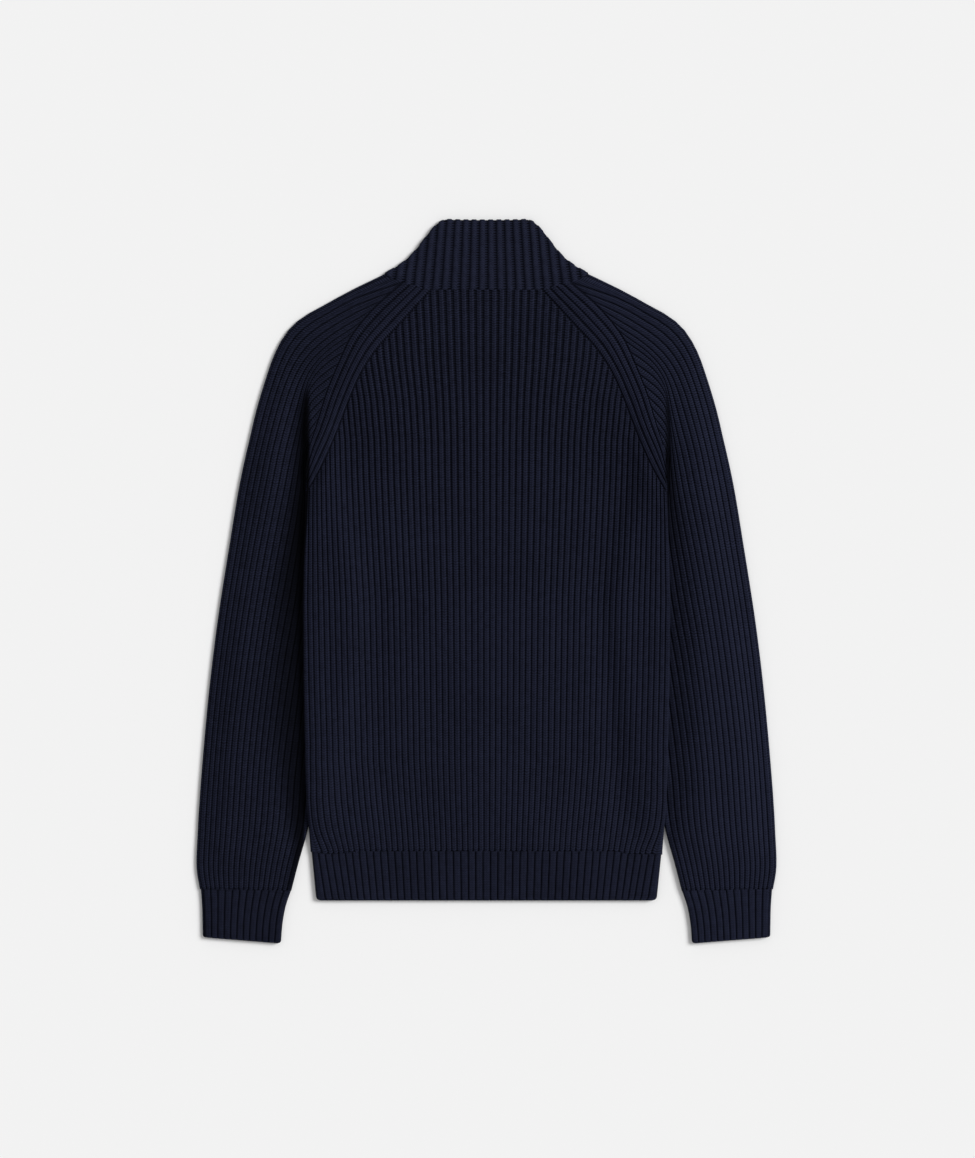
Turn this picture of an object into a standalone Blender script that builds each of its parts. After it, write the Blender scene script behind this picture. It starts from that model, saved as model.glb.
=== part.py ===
"""Ribbed cardigan with a stand collar and raglan sleeves, laid face down.

Metres, +Z up. The collar points to +Y and the back lies uppermost. The origin is the
centre of the laid outline, on the surface that the garment rests on. The tables are in
millimetres, for the half at +X: x is the distance from the centre line of the back, and
the other half is its mirror image.
"""

import math
from collections import namedtuple

import bmesh
import bpy
import numpy as np
from mathutils import Vector

MM = 0.001

# Walls of the knitted cloth, in millimetres.
RIB_CREST = 3.2
RIB_GROOVE = 1.8
PLAIN_WALL = 2.0
LAYER_GAP = 0.6
SEAM_GAP = 0.3
NECK_SEAM_GAP = 0.5
LOWER_INSIDE = PLAIN_WALL
UPPER_INSIDE = PLAIN_WALL + LAYER_GAP
FOLD_WALL = 2.3
FOLD_RADIUS = LAYER_GAP / 2

# How far the body is lifted where it lies on the inner edge of a sleeve.
SLEEVE_STACK = UPPER_INSIDE + RIB_CREST
BODY_OVER_SLEEVE = 0.4
LIFT = SLEEVE_STACK + BODY_OVER_SLEEVE
LIFT_CLEARANCE = 0.5
LIFT_SLOPE_WIDTH = 30.0
LIFT_MARGIN = 14.0
LIFT_OUTER_X = 202.5
CREASE_WIDTH = 9.0
LIFT_BOTTOM_Y = -292.0
LIFT_BOTTOM_FADE = 50.0
CREASE_TIP_Y = 217.0
CREASE_FULL_Y = 140.0

# Soft fullness of the upper layers, and how the body's side edges close on the fronts.
BODY_FULLNESS = 1.0
BODY_FULLNESS_POWER = 4
SLEEVE_FULLNESS = 2.0
FULLNESS_RAMP = 30.0
SLEEVE_FULL_FROM_X = 205.0
EDGE_DROP = 0.3
EDGE_STARTS = 0.93

# Ribs counted across each ribbed layer.
BODY_RIBS = 63
HEM_RIBS = 49
SLEEVE_RIBS = 19
SLEEVE_RIBS_ON_RAGLAN = 18
CUFF_RIBS = 12
COLLAR_RIBS = 22
BAND_RIBS_EACH_SIDE = 2
SEAM_INSET = 0.03    # share of the width of the raglan ribs left open at the seam

HEM_SEAM_Y = -297.0
HEM_BOTTOM_Y = -350.9
NECK_Y = 320.3
COLLAR_TOP_Y = 398.2
UNDERARM = (199.5, 126.0)

TorsoSection = namedtuple("TorsoSection", "y half_width pitch")
TORSO = [
    TorsoSection(-297, 194.5, 5.90),
    TorsoSection(-274, 195.0, 6.00),
    TorsoSection(-241, 197.5, 6.20),
    TorsoSection(-197, 199.0, 6.40),
    TorsoSection(-109, 201.0, 6.52),
    TorsoSection(-21, 202.0, 6.63),
    TorsoSection(23, 200.5, 6.79),
    TorsoSection(67, 199.5, 6.93),
    TorsoSection(111, 199.5, 7.06),
    TorsoSection(155, 199.5, 7.15),
    TorsoSection(199, 199.5, 7.40),
    TorsoSection(243, 199.5, 7.85),
    TorsoSection(287, 199.5, 8.15),
    TorsoSection(321, 199.5, 8.40),
]

# How the fanned ribs are spread: the power draws them together only near the side seams.
BODY_RIB_POWER = 5
HEM_RIB_POWER = 3
HEM_RIB_SPREAD = 1.044

HemSection = namedtuple("HemSection", "y half_width")
HEM = [
    HemSection(HEM_SEAM_Y, 193.5),
    HemSection(HEM_BOTTOM_Y, 187.0),
]

# The raglan seam, with the edge of the parallel ribs on its body side and sleeve side.
RaglanSection = namedtuple("RaglanSection", "body_x body_y seam_x seam_y sleeve_x sleeve_y")
RAGLAN = [
    RaglanSection(61.0, 320.3, 76.5, 324.1, 92.0, 328.0),
    RaglanSection(98.0, 280.0, 111.0, 288.5, 124.0, 297.0),
    RaglanSection(120.0, 256.0, 134.0, 263.5, 148.0, 271.0),
    RaglanSection(141.5, 225.5, 152.5, 232.0, 163.5, 238.5),
    RaglanSection(153.0, 201.5, 163.8, 206.8, 174.5, 212.0),
    RaglanSection(168.0, 163.0, 178.0, 166.5, 187.5, 169.5),
    RaglanSection(184.0, 126.0, 190.0, 140.0, 195.5, 151.0),
    RaglanSection(199.3, 105.0, 199.5, 126.0, 203.0, 128.0),
]

# Straight lines across the laid sleeve, from its outer fold to its underarm seam.
SleeveSection = namedtuple("SleeveSection", "outer_x outer_y inner_x inner_y")
SHOULDER_POINT = (112.0, 337.0)
NECK_FOLD_REACH = 0.55
SLEEVE = [
    SleeveSection(150.0, 319.0, 203.5, 122.0),
    SleeveSection(178.0, 303.6, 204.0, 116.0),
    SleeveSection(199.7, 291.5, 204.0, 110.0),
    SleeveSection(214.6, 279.4, 204.0, 104.0),
    SleeveSection(226.4, 262.9, 203.5, 98.0),
    SleeveSection(235.1, 244.2, 202.5, 92.0),
    SleeveSection(243.0, 221.1, 194.0, 78.0),
    SleeveSection(251.4, 193.6, 183.0, 56.0),
    SleeveSection(260.7, 155.1, 170.0, 28.0),
    SleeveSection(270.5, 111.1, 167.0, -15.0),
    SleeveSection(282.5, 40.0, 171.0, -70.0),
    SleeveSection(297.5, -58.0, 182.0, -150.0),
    SleeveSection(310.2, -174.9, 198.0, -228.0),
    SleeveSection(317.4, -275.0, 200.0, -277.0),
    SleeveSection(318.5, -318.0, 207.5, -314.0),
    SleeveSection(315.0, -338.8, 214.0, -340.4),
]
LIFTED_SLEEVE_ROWS = 6
RIBS_CROWD_AT_UNDERARM = 0.45

CUFF = [
    SleeveSection(314.0, -339.2, 215.5, -340.8),
    SleeveSection(312.4, -356.4, 221.1, -356.9),
    SleeveSection(311.9, -391.6, 226.0, -398.2),
]

# Neck edge of the back and the sleeves, and the top outline of the laid collar.
NECK_LINE = [(0.0, NECK_Y), (61.0, NECK_Y), (92.0, 328.0), SHOULDER_POINT]
COLLAR_OUTLINE = [
    (0.0, 397.5),
    (30.0, 397.7),
    (44.5, COLLAR_TOP_Y),
    (51.2, 396.0),
    (57.6, 390.5),
    (64.9, 381.7),
    (71.5, 372.9),
    (77.6, 365.2),
    (84.4, 357.5),
    (91.0, 352.0),
    (97.4, 347.6),
    (104.5, 344.3),
    (112.0, 341.0),
]
COLLAR_PITCH_AT_NECK = 10.2
COLLAR_PITCH_AT_TOP = 9.0

# Hidden side: the fronts part above the breast, and the collar ends turn down with them.
FRONT_RAGLAN_BEND = (183.0, 152.0)
FRONT_RAGLAN_TOP = (105.0, 309.0)
FRONT_NECK_END = (86.4, 234.3)
FRONTS_MEET = (SEAM_GAP, 23.0)
COLLAR_END_TOP = (18.0, 276.0)
COLLAR_FOLD_TOP = (49.0, 393.0)

KNIT_COLOUR = (0.0095, 0.0108, 0.0205, 1.0)
KNIT_ROUGHNESS = 0.92
SHARP_ANGLE = math.radians(50)
COLLECTION_NAME = "ribbed_cardigan"

# Stops across one rib, counted in ribs: rounded on the body, flat-topped on the bands.
ROUND_RIB = (0.0, 0.5)
FLAT_RIB = (0.0, 0.25, 0.75)

# Segments of the grids that the walls are laid on.
BACK_ROWS = 8
BAND_ROWS = 2 * BAND_RIBS_EACH_SIDE
FRONT_STOPS = (0.0, 0.2, 0.4, 0.55, 0.63, 0.68, 0.73, 0.78, 0.83, 0.88, 0.93, 0.97, 1.0)
FRONT_COLUMNS = len(FRONT_STOPS) - 1
FRONT_NECK_COLUMNS = 2
FRONT_ROWS_BELOW = 6
FRONT_ROWS_ABOVE = 5
LOWER_COLUMNS = 4
FOLD_COLUMNS = 3
FIRST_UPPER = LOWER_COLUMNS + FOLD_COLUMNS
HEM_FRONT_COLUMNS = 4
COLLAR_ROWS = 3
COLLAR_END_COLUMNS = 5
COLLAR_END_ROWS = 3

# Numeric tolerances: a groove in ribs, a corner in millimetres, and the search for a rib's end.
GROOVE_TOLERANCE = 0.01
CORNER_TOLERANCE = 0.5
SEARCH_MARGIN = 1.0
BISECTIONS = 36


def smooth(value):
    """Ramp from 0 to 1 with flat ends."""
    t = min(max(value, 0.0), 1.0)
    return t * t * (3.0 - 2.0 * t)


def mix(a, b, t):
    return a + (b - a) * t


def edge_drop(t):
    """How far the wall's edge comes down at the side seam; t is 1 at the seam."""
    return EDGE_DROP * smooth((abs(t) - EDGE_STARTS) / (1.0 - EDGE_STARTS))


def lookup(position, table, key, column):
    """Value of one column of a table, read between its rows by another column."""
    rows = sorted(table, key=lambda row: getattr(row, key))
    keys = [getattr(row, key) for row in rows]
    return float(np.interp(position, keys, [getattr(row, column) for row in rows]))


def along(points, fraction):
    """Point at a fraction of the length of a broken line."""
    points = np.array(points)
    steps = np.hypot(*np.diff(points, axis=0).T)
    reached = np.concatenate([[0.0], np.cumsum(steps)]) / steps.sum()
    return tuple(float(np.interp(fraction, reached, axis)) for axis in points.T)


def between(start, end, fraction):
    return tuple(mix(a, b, fraction) for a, b in zip(start, end))


def rib_positions(ribs, stops):
    """Places across a ribbed layer, counted in ribs; a whole number is a groove."""
    places = [rib + stop for rib in range(ribs) for stop in stops]
    return places + [ribs]


def rib_wall(place):
    """Wall thickness at a place counted in ribs: full on the crest, thin in a groove."""
    in_groove = abs(place - round(place)) < GROOVE_TOLERANCE
    return RIB_GROOVE if in_groove else RIB_CREST


def sleeve_edge(y):
    """Distance of the hidden inner edge of a sleeve from the centre line."""
    return lookup(y, SLEEVE[LIFTED_SLEEVE_ROWS - 1:], "inner_y", "inner_x")


def lift(x, y):
    """Height by which the body rides up over the inner edge of a sleeve."""
    full_at = sleeve_edge(y) - LIFT_MARGIN
    rise = smooth(1.0 + (abs(x) - full_at) / LIFT_SLOPE_WIDTH)
    fall = 1.0 - smooth((abs(x) - LIFT_OUTER_X) / CREASE_WIDTH)
    above_hem = smooth((y - LIFT_BOTTOM_Y) / LIFT_BOTTOM_FADE)
    below_crease_tip = smooth((CREASE_TIP_Y - y) / (CREASE_TIP_Y - CREASE_FULL_Y))
    return LIFT * rise * fall * above_hem * below_crease_tip


def parted_lift(x, y, way):
    """The lift of an upper (way 1) or lower (way -1) layer, parted a little on the slope."""
    raised = lift(x, y)
    slope = 4.0 * raised * (LIFT - raised) / LIFT ** 2
    return max(0.0, raised + way * LIFT_CLEARANCE * slope)


def upper(x, y, height, thickness, side=1.0):
    """Inner and outer point of an upper layer, whose outer face looks up."""
    inner = Vector((side * x, y, UPPER_INSIDE + height))
    return inner, inner + Vector((0.0, 0.0, thickness))


def lower(x, y, height, side=1.0):
    """Inner and outer point of a lower layer, whose outer face looks down."""
    inner = Vector((side * x, y, LOWER_INSIDE + height))
    return inner, inner - Vector((0.0, 0.0, PLAIN_WALL))


def wall(name, columns, rows, point, keep=None):
    """Closed cloth wall: a grid laid on the inner points, extruded to the outer points."""
    bm = bmesh.new()
    bmesh.ops.create_grid(bm, x_segments=columns, y_segments=rows, size=1.0)
    column_of = bm.verts.layers.int.new("column")
    row_of = bm.verts.layers.int.new("row")
    for vert in bm.verts:
        vert[column_of] = round((vert.co.x + 1.0) / 2.0 * columns)
        vert[row_of] = round((vert.co.y + 1.0) / 2.0 * rows)
    if keep:
        unused = []
        for face in bm.faces:
            column = min(vert[column_of] for vert in face.verts)
            row = min(vert[row_of] for vert in face.verts)
            if not keep(column, row):
                unused.append(face)
        bmesh.ops.delete(bm, geom=unused, context="FACES")
    for vert in bm.verts:
        vert.co = point(vert[column_of], vert[row_of])[0] * MM
    raised = bmesh.ops.extrude_face_region(bm, geom=bm.faces[:])
    for vert in raised["geom"]:
        if isinstance(vert, bmesh.types.BMVert):
            vert.co = point(vert[column_of], vert[row_of])[1] * MM
    bmesh.ops.recalc_face_normals(bm, faces=bm.faces[:])
    mesh = bpy.data.meshes.new(name)
    bm.to_mesh(mesh)
    bm.free()
    mesh.shade_smooth()
    mesh.set_sharp_from_angle(angle=SHARP_ANGLE)
    obj = bpy.data.objects.new(name, mesh)
    mesh.materials.append(knit_material(name))
    bpy.data.collections[COLLECTION_NAME].objects.link(obj)
    return obj


def knit_material(name):
    material = bpy.data.materials.new(name + "_knit")
    material.use_nodes = True
    shader = material.node_tree.nodes["Principled BSDF"]
    shader.inputs["Base Color"].default_value = KNIT_COLOUR
    shader.inputs["Roughness"].default_value = KNIT_ROUGHNESS
    shader.inputs["Metallic"].default_value = 0.0
    return material


def mirrored(original, name):
    """The same piece on the other side of the centre line."""
    obj = bpy.data.objects.new(name, original.data)
    obj.scale.x = -1.0
    bpy.data.collections[COLLECTION_NAME].objects.link(obj)
    return obj


def body_x(place, y):
    """Where a rib line of the back runs at height y; place counts ribs from the middle."""
    half_width = lookup(y, TORSO, "y", "half_width")
    half_ribs = BODY_RIBS / 2
    t = place / half_ribs
    fanned = lookup(y, TORSO, "y", "pitch") * half_ribs / half_width
    return half_width * (fanned * t + (1.0 - fanned) * t ** BODY_RIB_POWER)


def band_line(edge):
    """One line along the raglan: its body edge, its seam or its sleeve edge."""
    return [(getattr(row, edge + "_x"), getattr(row, edge + "_y")) for row in RAGLAN]


def field_top(place):
    """Where a rib line of the back ends: at the neck, or at the ribs along the raglan."""
    edge_x, edge_y = zip(*([(0.0, NECK_Y)] + band_line("body")))

    def below_edge(y):
        return y < np.interp(body_x(abs(place), y), edge_x, edge_y)

    return last_true(below_edge, HEM_SEAM_Y, NECK_Y + SEARCH_MARGIN)


def last_true(test, low, high):
    """The largest value between low and high for which a test still holds."""
    for _ in range(BISECTIONS):
        middle = (low + high) / 2
        low, high = (middle, high) if test(middle) else (low, middle)
    return low


def fraction_along(points, x):
    """How far along a broken line a point with this x lies."""
    points = np.array(points)
    steps = np.hypot(*np.diff(points, axis=0).T)
    reached = np.concatenate([[0.0], np.cumsum(steps)]) / steps.sum()
    return float(np.interp(x, points[:, 0], reached))


def make_back():
    places = [place - BODY_RIBS / 2 for place in rib_positions(BODY_RIBS, ROUND_RIB)]
    neck_corner = RAGLAN[0].body_x

    def on_raglan(place):
        return abs(body_x(place, field_top(place))) >= neck_corner - CORNER_TOLERANCE

    def point(column, row):
        place = places[column]
        side = math.copysign(1.0, place)
        top = field_top(place)
        edge = edge_drop(place * 2 / BODY_RIBS)
        if row <= BACK_ROWS:
            v = row / BACK_ROWS
            y = mix(HEM_SEAM_Y + SEAM_GAP / 2, top - SEAM_GAP / 2, v)
            x = abs(body_x(place, y))
            fullness = BODY_FULLNESS * math.sin(math.pi * v)
            fullness *= 1.0 - (abs(place) * 2 / BODY_RIBS) ** BODY_FULLNESS_POWER
            thickness = rib_wall(place + BODY_RIBS / 2)
            if row == BACK_ROWS:
                thickness = RIB_GROOVE
            return upper(x, y, parted_lift(x, y, 1) + fullness - edge, thickness, side)
        g = (row - BACK_ROWS) / BAND_ROWS
        f = fraction_along(band_line("body"), abs(body_x(place, top)))
        body = along(band_line("body"), f)
        seam = along(band_line("seam"), f)
        x, y = between(body, seam, g * (1.0 - SEAM_INSET))
        y -= SEAM_GAP / 2
        thickness = rib_wall(g * BAND_RIBS_EACH_SIDE)
        return upper(x, y, parted_lift(x, y, 1) - edge, thickness, side)

    def keep(column, row):
        return row < BACK_ROWS or (on_raglan(places[column]) and on_raglan(places[column + 1]))

    wall("back", len(places) - 1, BACK_ROWS + BAND_ROWS, point, keep)


def front_raglan(fraction):
    """Raglan seam of the hidden front, from the underarm up to the neck."""
    return along([UNDERARM, FRONT_RAGLAN_BEND, FRONT_RAGLAN_TOP], fraction)


def make_fronts():
    def top_edge(column):
        if column <= FRONT_NECK_COLUMNS:
            return between(FRONT_NECK_END, FRONT_RAGLAN_TOP, column / FRONT_NECK_COLUMNS)
        left = (FRONT_COLUMNS - column) / (FRONT_COLUMNS - FRONT_NECK_COLUMNS)
        return front_raglan(left)

    def point(column, row):
        t = FRONT_STOPS[column]
        if row <= FRONT_ROWS_BELOW:
            y = mix(HEM_SEAM_Y + SEAM_GAP / 2, FRONTS_MEET[1], row / FRONT_ROWS_BELOW)
            x = mix(FRONTS_MEET[0], lookup(y, TORSO, "y", "half_width"), t)
        else:
            underarm_width = lookup(FRONTS_MEET[1], TORSO, "y", "half_width")
            start = (mix(FRONTS_MEET[0], underarm_width, t), FRONTS_MEET[1])
            top_x, top_y = top_edge(column)
            end = (top_x - SEAM_GAP, top_y - SEAM_GAP)
            x, y = between(start, end, (row - FRONT_ROWS_BELOW) / FRONT_ROWS_ABOVE)
        return lower(x, y, parted_lift(x, y, -1))

    rows = FRONT_ROWS_BELOW + FRONT_ROWS_ABOVE
    right = wall("front_right", FRONT_COLUMNS, rows, point)
    mirrored(right, "front_left")


def tube_point(section, column, places):
    """Point of a laid tube: under layer from the seam out, round the fold, and back."""
    ribs = places[-1]
    outer = Vector((section.outer_x, section.outer_y))
    inner = Vector((section.inner_x, section.inner_y))
    outward = (outer - inner).normalized()
    crease = outer - outward * (FOLD_WALL + FOLD_RADIUS)
    if column <= LOWER_COLUMNS:
        x, y = between(inner, crease, column / LOWER_COLUMNS)
        return lower(x, y, 0.0)
    if column < FIRST_UPPER:
        return fold_point(crease, outward, column)
    place = places[len(places) - 1 - (column - FIRST_UPPER)]
    x, y = between(inner, crease, place / ribs)
    return upper(x, y, 0.0, rib_wall(place))


def fold_point(crease, outward, column):
    """Point on the round fold at the outer edge of a laid tube."""
    turn = math.pi * (column - LOWER_COLUMNS) / FOLD_COLUMNS
    away = Vector((*(Vector(outward) * math.sin(turn)), -math.cos(turn)))
    middle = Vector((*crease, LOWER_INSIDE + FOLD_RADIUS))
    return middle + away * FOLD_RADIUS, middle + away * (FOLD_RADIUS + FOLD_WALL)


def make_sleeves():
    places = rib_positions(SLEEVE_RIBS, ROUND_RIB)
    columns = FIRST_UPPER + len(places) - 1
    rows = len(SLEEVE)

    def raglan_point(place, line):
        """Place on a line along the back raglan, counted in ribs from the underarm."""
        w = min(place / SLEEVE_RIBS_ON_RAGLAN, 1.0)
        return along(band_line(line), 1.0 - w + RIBS_CROWD_AT_UNDERARM * w * (1.0 - w))

    def fullness(x, y, row):
        section = SLEEVE[max(row - 1, 0)]
        from_body = smooth((x - SLEEVE_FULL_FROM_X) / FULLNESS_RAMP)
        from_fold = math.hypot(section.outer_x - x, section.outer_y - y) / FULLNESS_RAMP
        return SLEEVE_FULLNESS * from_body * smooth(from_fold)

    def top_row(column):
        if column <= LOWER_COLUMNS:
            if column == LOWER_COLUMNS:
                x, y = SHOULDER_POINT
                return lower(x, y - SEAM_GAP, 0.0)
            x, y = front_raglan(column / (LOWER_COLUMNS - 1))
            return lower(x + SEAM_GAP, y + SEAM_GAP, parted_lift(x, y, -1))
        if column < FIRST_UPPER:
            crease = (SHOULDER_POINT[0], SHOULDER_POINT[1] - SEAM_GAP)
            return fold_point(crease, (NECK_FOLD_REACH, 0.0), column)
        place = places[columns - column]
        if place <= SLEEVE_RIBS_ON_RAGLAN:
            x, y = raglan_point(place, "sleeve")
            y -= SEAM_GAP / 2 * smooth(place - SLEEVE_RIBS_ON_RAGLAN + 1)
            return upper(x, y, parted_lift(x, y, 1), RIB_GROOVE)
        share = (place - SLEEVE_RIBS_ON_RAGLAN) / (SLEEVE_RIBS - SLEEVE_RIBS_ON_RAGLAN)
        x, y = between(band_line("sleeve")[0], SHOULDER_POINT, share)
        return upper(x, y - SEAM_GAP, 0.0, rib_wall(place))

    def point(column, row):
        row -= BAND_ROWS
        if row > 0:
            inner, outer = tube_point(SLEEVE[row - 1], column, places)
            way = 1 if column >= FIRST_UPPER else -1
            raised = parted_lift(inner.x, inner.y, way)
            raised *= 1.0 - smooth(row / LIFTED_SLEEVE_ROWS)
            if column >= FIRST_UPPER:
                raised += fullness(inner.x, inner.y, row)
            rise = Vector((0.0, 0.0, raised))
            return inner + rise, outer + rise
        if row == 0:
            return top_row(column)
        g = -row / BAND_ROWS
        place = min(places[min(columns - column, len(places) - 1)], SLEEVE_RIBS_ON_RAGLAN)
        edge = raglan_point(place, "sleeve")
        seam = raglan_point(place, "seam")
        x, y = between(edge, seam, g * (1.0 - SEAM_INSET))
        y -= SEAM_GAP / 2 * smooth(place - SLEEVE_RIBS_ON_RAGLAN + 1)
        return upper(x, y, parted_lift(x, y, 1), rib_wall(g * BAND_RIBS_EACH_SIDE))

    def keep(column, row):
        if row >= BAND_ROWS:
            return True
        return column >= FIRST_UPPER and places[columns - column] <= SLEEVE_RIBS_ON_RAGLAN

    right = wall("sleeve_right", columns, BAND_ROWS + rows, point, keep)
    mirrored(right, "sleeve_left")


def make_cuffs():
    places = rib_positions(CUFF_RIBS, FLAT_RIB)
    columns = FIRST_UPPER + len(places) - 1

    def point(column, row):
        return tube_point(CUFF[row], column, places)

    right = wall("cuff_right", columns, len(CUFF) - 1, point)
    mirrored(right, "cuff_left")


def make_hem():
    places = rib_positions(HEM_RIBS, FLAT_RIB)
    half_ribs = HEM_RIBS / 2

    def hem_row(row):
        y = HEM[row].y - (SEAM_GAP / 2 if row == 0 else 0.0)
        return y, HEM[row].half_width

    def back_point(column, row):
        y, half_width = hem_row(row)
        t = (places[column] - half_ribs) / half_ribs
        x = half_width * mix(t ** HEM_RIB_POWER, t, HEM_RIB_SPREAD)
        return upper(x, y, -edge_drop(t), rib_wall(places[column]))

    def front_point(column, row):
        y, half_width = hem_row(row)
        return lower(mix(FRONTS_MEET[0], half_width, column / HEM_FRONT_COLUMNS), y, 0.0)

    wall("hem_back", len(places) - 1, len(HEM) - 1, back_point)
    right = wall("hem_right", HEM_FRONT_COLUMNS, len(HEM) - 1, front_point)
    mirrored(right, "hem_left")


def make_collar():
    places = rib_positions(COLLAR_RIBS, FLAT_RIB)
    neck_x, neck_y = zip(*NECK_LINE)
    outline_x, outline_y = zip(*COLLAR_OUTLINE)

    def back_point(column, row):
        place = places[column] - COLLAR_RIBS / 2
        base_x = min(abs(place) * COLLAR_PITCH_AT_NECK, SHOULDER_POINT[0])
        base_y = np.interp(base_x, neck_x, neck_y) + NECK_SEAM_GAP

        def rib_line(share):
            narrowed = mix(1.0, COLLAR_PITCH_AT_TOP / COLLAR_PITCH_AT_NECK, share)
            return base_x * narrowed, mix(base_y, COLLAR_TOP_Y + SEARCH_MARGIN, share)

        def inside_outline(share):
            x, y = rib_line(share)
            return y < np.interp(x, outline_x, outline_y)

        x, y = rib_line(last_true(inside_outline, 0.0, 1.0) * row / COLLAR_ROWS)
        return upper(x, y, 0.0, rib_wall(places[column]), math.copysign(1.0, place))

    def end_point(column, row):
        t = column / COLLAR_END_COLUMNS
        base = between(SHOULDER_POINT, FRONT_NECK_END, t)
        base = (base[0] - 2 * NECK_SEAM_GAP, base[1] + SEAM_GAP)
        x, y = between(base, between(COLLAR_FOLD_TOP, COLLAR_END_TOP, t), row / COLLAR_END_ROWS)
        return lower(x, y, 0.0)

    wall("collar_back", len(places) - 1, COLLAR_ROWS, back_point)
    right = wall("collar_end_right", COLLAR_END_COLUMNS, COLLAR_END_ROWS, end_point)
    mirrored(right, "collar_end_left")


def main():
    for obj in list(bpy.data.objects):
        bpy.data.objects.remove(obj)
    collection = bpy.data.collections.new(COLLECTION_NAME)
    bpy.context.scene.collection.children.link(collection)
    make_back()
    make_fronts()
    make_sleeves()
    make_cuffs()
    make_hem()
    make_collar()


if __name__ == "__main__":
    main()
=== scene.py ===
"""Looks of a ribbed cardigan laid face down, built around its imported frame.

Metres, +Z up, the collar to +Y, the back uppermost. The tables are in millimetres for the half
at +X: x is the distance from the centre line of the back. A place is counted in ribs, and a
whole number is the bottom of a groove.
"""

import math
from collections import namedtuple

import bmesh
import bpy
import numpy as np
from bpy.props import FloatProperty, FloatVectorProperty, PointerProperty
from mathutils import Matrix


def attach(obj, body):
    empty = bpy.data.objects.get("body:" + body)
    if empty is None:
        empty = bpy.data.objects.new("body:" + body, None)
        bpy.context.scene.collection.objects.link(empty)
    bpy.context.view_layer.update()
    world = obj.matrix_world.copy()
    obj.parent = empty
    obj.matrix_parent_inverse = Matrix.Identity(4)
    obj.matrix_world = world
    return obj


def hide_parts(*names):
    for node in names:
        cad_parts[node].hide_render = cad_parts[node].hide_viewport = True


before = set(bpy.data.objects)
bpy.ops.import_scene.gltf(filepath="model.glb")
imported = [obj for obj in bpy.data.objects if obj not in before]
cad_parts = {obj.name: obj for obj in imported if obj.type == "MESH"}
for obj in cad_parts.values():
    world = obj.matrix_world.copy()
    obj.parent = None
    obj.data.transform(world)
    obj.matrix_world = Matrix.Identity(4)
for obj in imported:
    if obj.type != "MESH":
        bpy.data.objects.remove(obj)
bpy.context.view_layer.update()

bl_info = {
    "name": "Ribbed Cardigan",
    "version": (1, 0, 0),
    "blender": (4, 5, 0),
    "location": "3D View > Sidebar > Cardigan",
    "description": "Builds the knitted panels of a ribbed cardigan, laid flat, and its stage",
    "category": "Add Mesh",
}


def table(columns, *rows):
    """Rows of numbers whose columns have names."""
    row = namedtuple("Row", columns)
    return [row(*numbers) for numbers in rows]


MM = 0.001

# Layers of the laid cardigan.
PLAIN_WALL = 2.0
LAYER_GAP = 0.6
FRONT_GAP = 0.3
SEAM_LAP = 0.3
FOLD_WALL = 2.3
FOLD_RADIUS = LAYER_GAP / 2
LAYER_MIDDLE = PLAIN_WALL + FOLD_RADIUS

# How far the body is lifted where it lies on the inner edge of a sleeve.
LIFT = 6.2
LIFT_CLEARANCE = 0.5
LIFT_SLOPE_WIDTH = 30.0
LIFT_MARGIN = 14.0
CREASE_WIDTH = 4.0
LIFT_BOTTOM_Y = -292.0
LIFT_BOTTOM_FADE = 50.0
CREASE_TIP_Y = 217.0
CREASE_FULL_Y = 140.0

# Ribs counted across each ribbed layer, and the height of a stitch.
BODY_RIBS = 63
HEM_RIBS = 49
SLEEVE_RIBS = 19
SLEEVE_RIBS_ON_RAGLAN = 18
CUFF_RIBS = 12
COLLAR_RIBS = 22
COLLAR_END_RIBS = 9
BAND_RIBS_EACH_SIDE = 2
STITCH = 2.65

HEM_SEAM_Y = -297.0
HEM_BOTTOM_Y = -350.9
NECK_Y = 320.3
COLLAR_TOP_Y = 398.2
UNDERARM = (198.0, 113.0)

# Outline of the body, and the pitch of its middle ribs, which widens up to the neck.
TORSO = table(
    "y half_width pitch",
    (-297, 193.3, 5.90),
    (-274, 195.0, 6.00),
    (-241, 197.5, 6.20),
    (-197, 199.0, 6.40),
    (-109, 201.0, 6.52),
    (-21, 202.0, 6.63),
    (23, 200.5, 6.79),
    (67, 199.3, 6.93),
    (111, 197.4, 7.06),
    (155, 196.5, 7.15),
    (199, 196.5, 7.40),
    (243, 196.5, 7.85),
    (287, 196.5, 8.15),
    (321, 196.5, 8.40),
)
BODY_RIB_POWER = 5
NECK_MARGIN = 0.5

# How far the outer ribs of the back are drawn in above the hem, or out where it is below 0. The
# lean is full one or two ribs from the side edge, and nothing on the edge itself.
RIB_LEAN = table(
    "y shift",
    (-297, 5.2),
    (-290, 3.2),
    (-282, 0.6),
    (-273, -1.5),
    (-260, -2.5),
    (-240, -2.2),
    (-215, -1.0),
    (-180, 0.0),
)
RIB_LEAN_SCALE = 1.96
RIB_LEAN_POWER = 8
RIB_LEAN_EDGE_POWER = 30

# How far the hem seam dips at the sides: at the left it rises again near the edge.
LEFT_SEAM_DIP = 2.6
RIGHT_SEAM_DIP = 3.6
SEAM_DIP_FROM_X = 135.0
SEAM_DIP_WIDTH = 30.0
LEFT_DIP_ENDS_X = 178.0
LEFT_DIP_END_WIDTH = 16.0
LEFT_DIP_END_SHARE = 0.8

HEM = table("y half_width", (HEM_SEAM_Y, 192.2), (HEM_BOTTOM_Y, 187.0))
HEM_RIB_POWER = 3
HEM_RIB_SPREAD = 1.044
HEM_RIB_LEAN = 5.5
HEM_RIB_EDGE_POWER = 24

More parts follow.
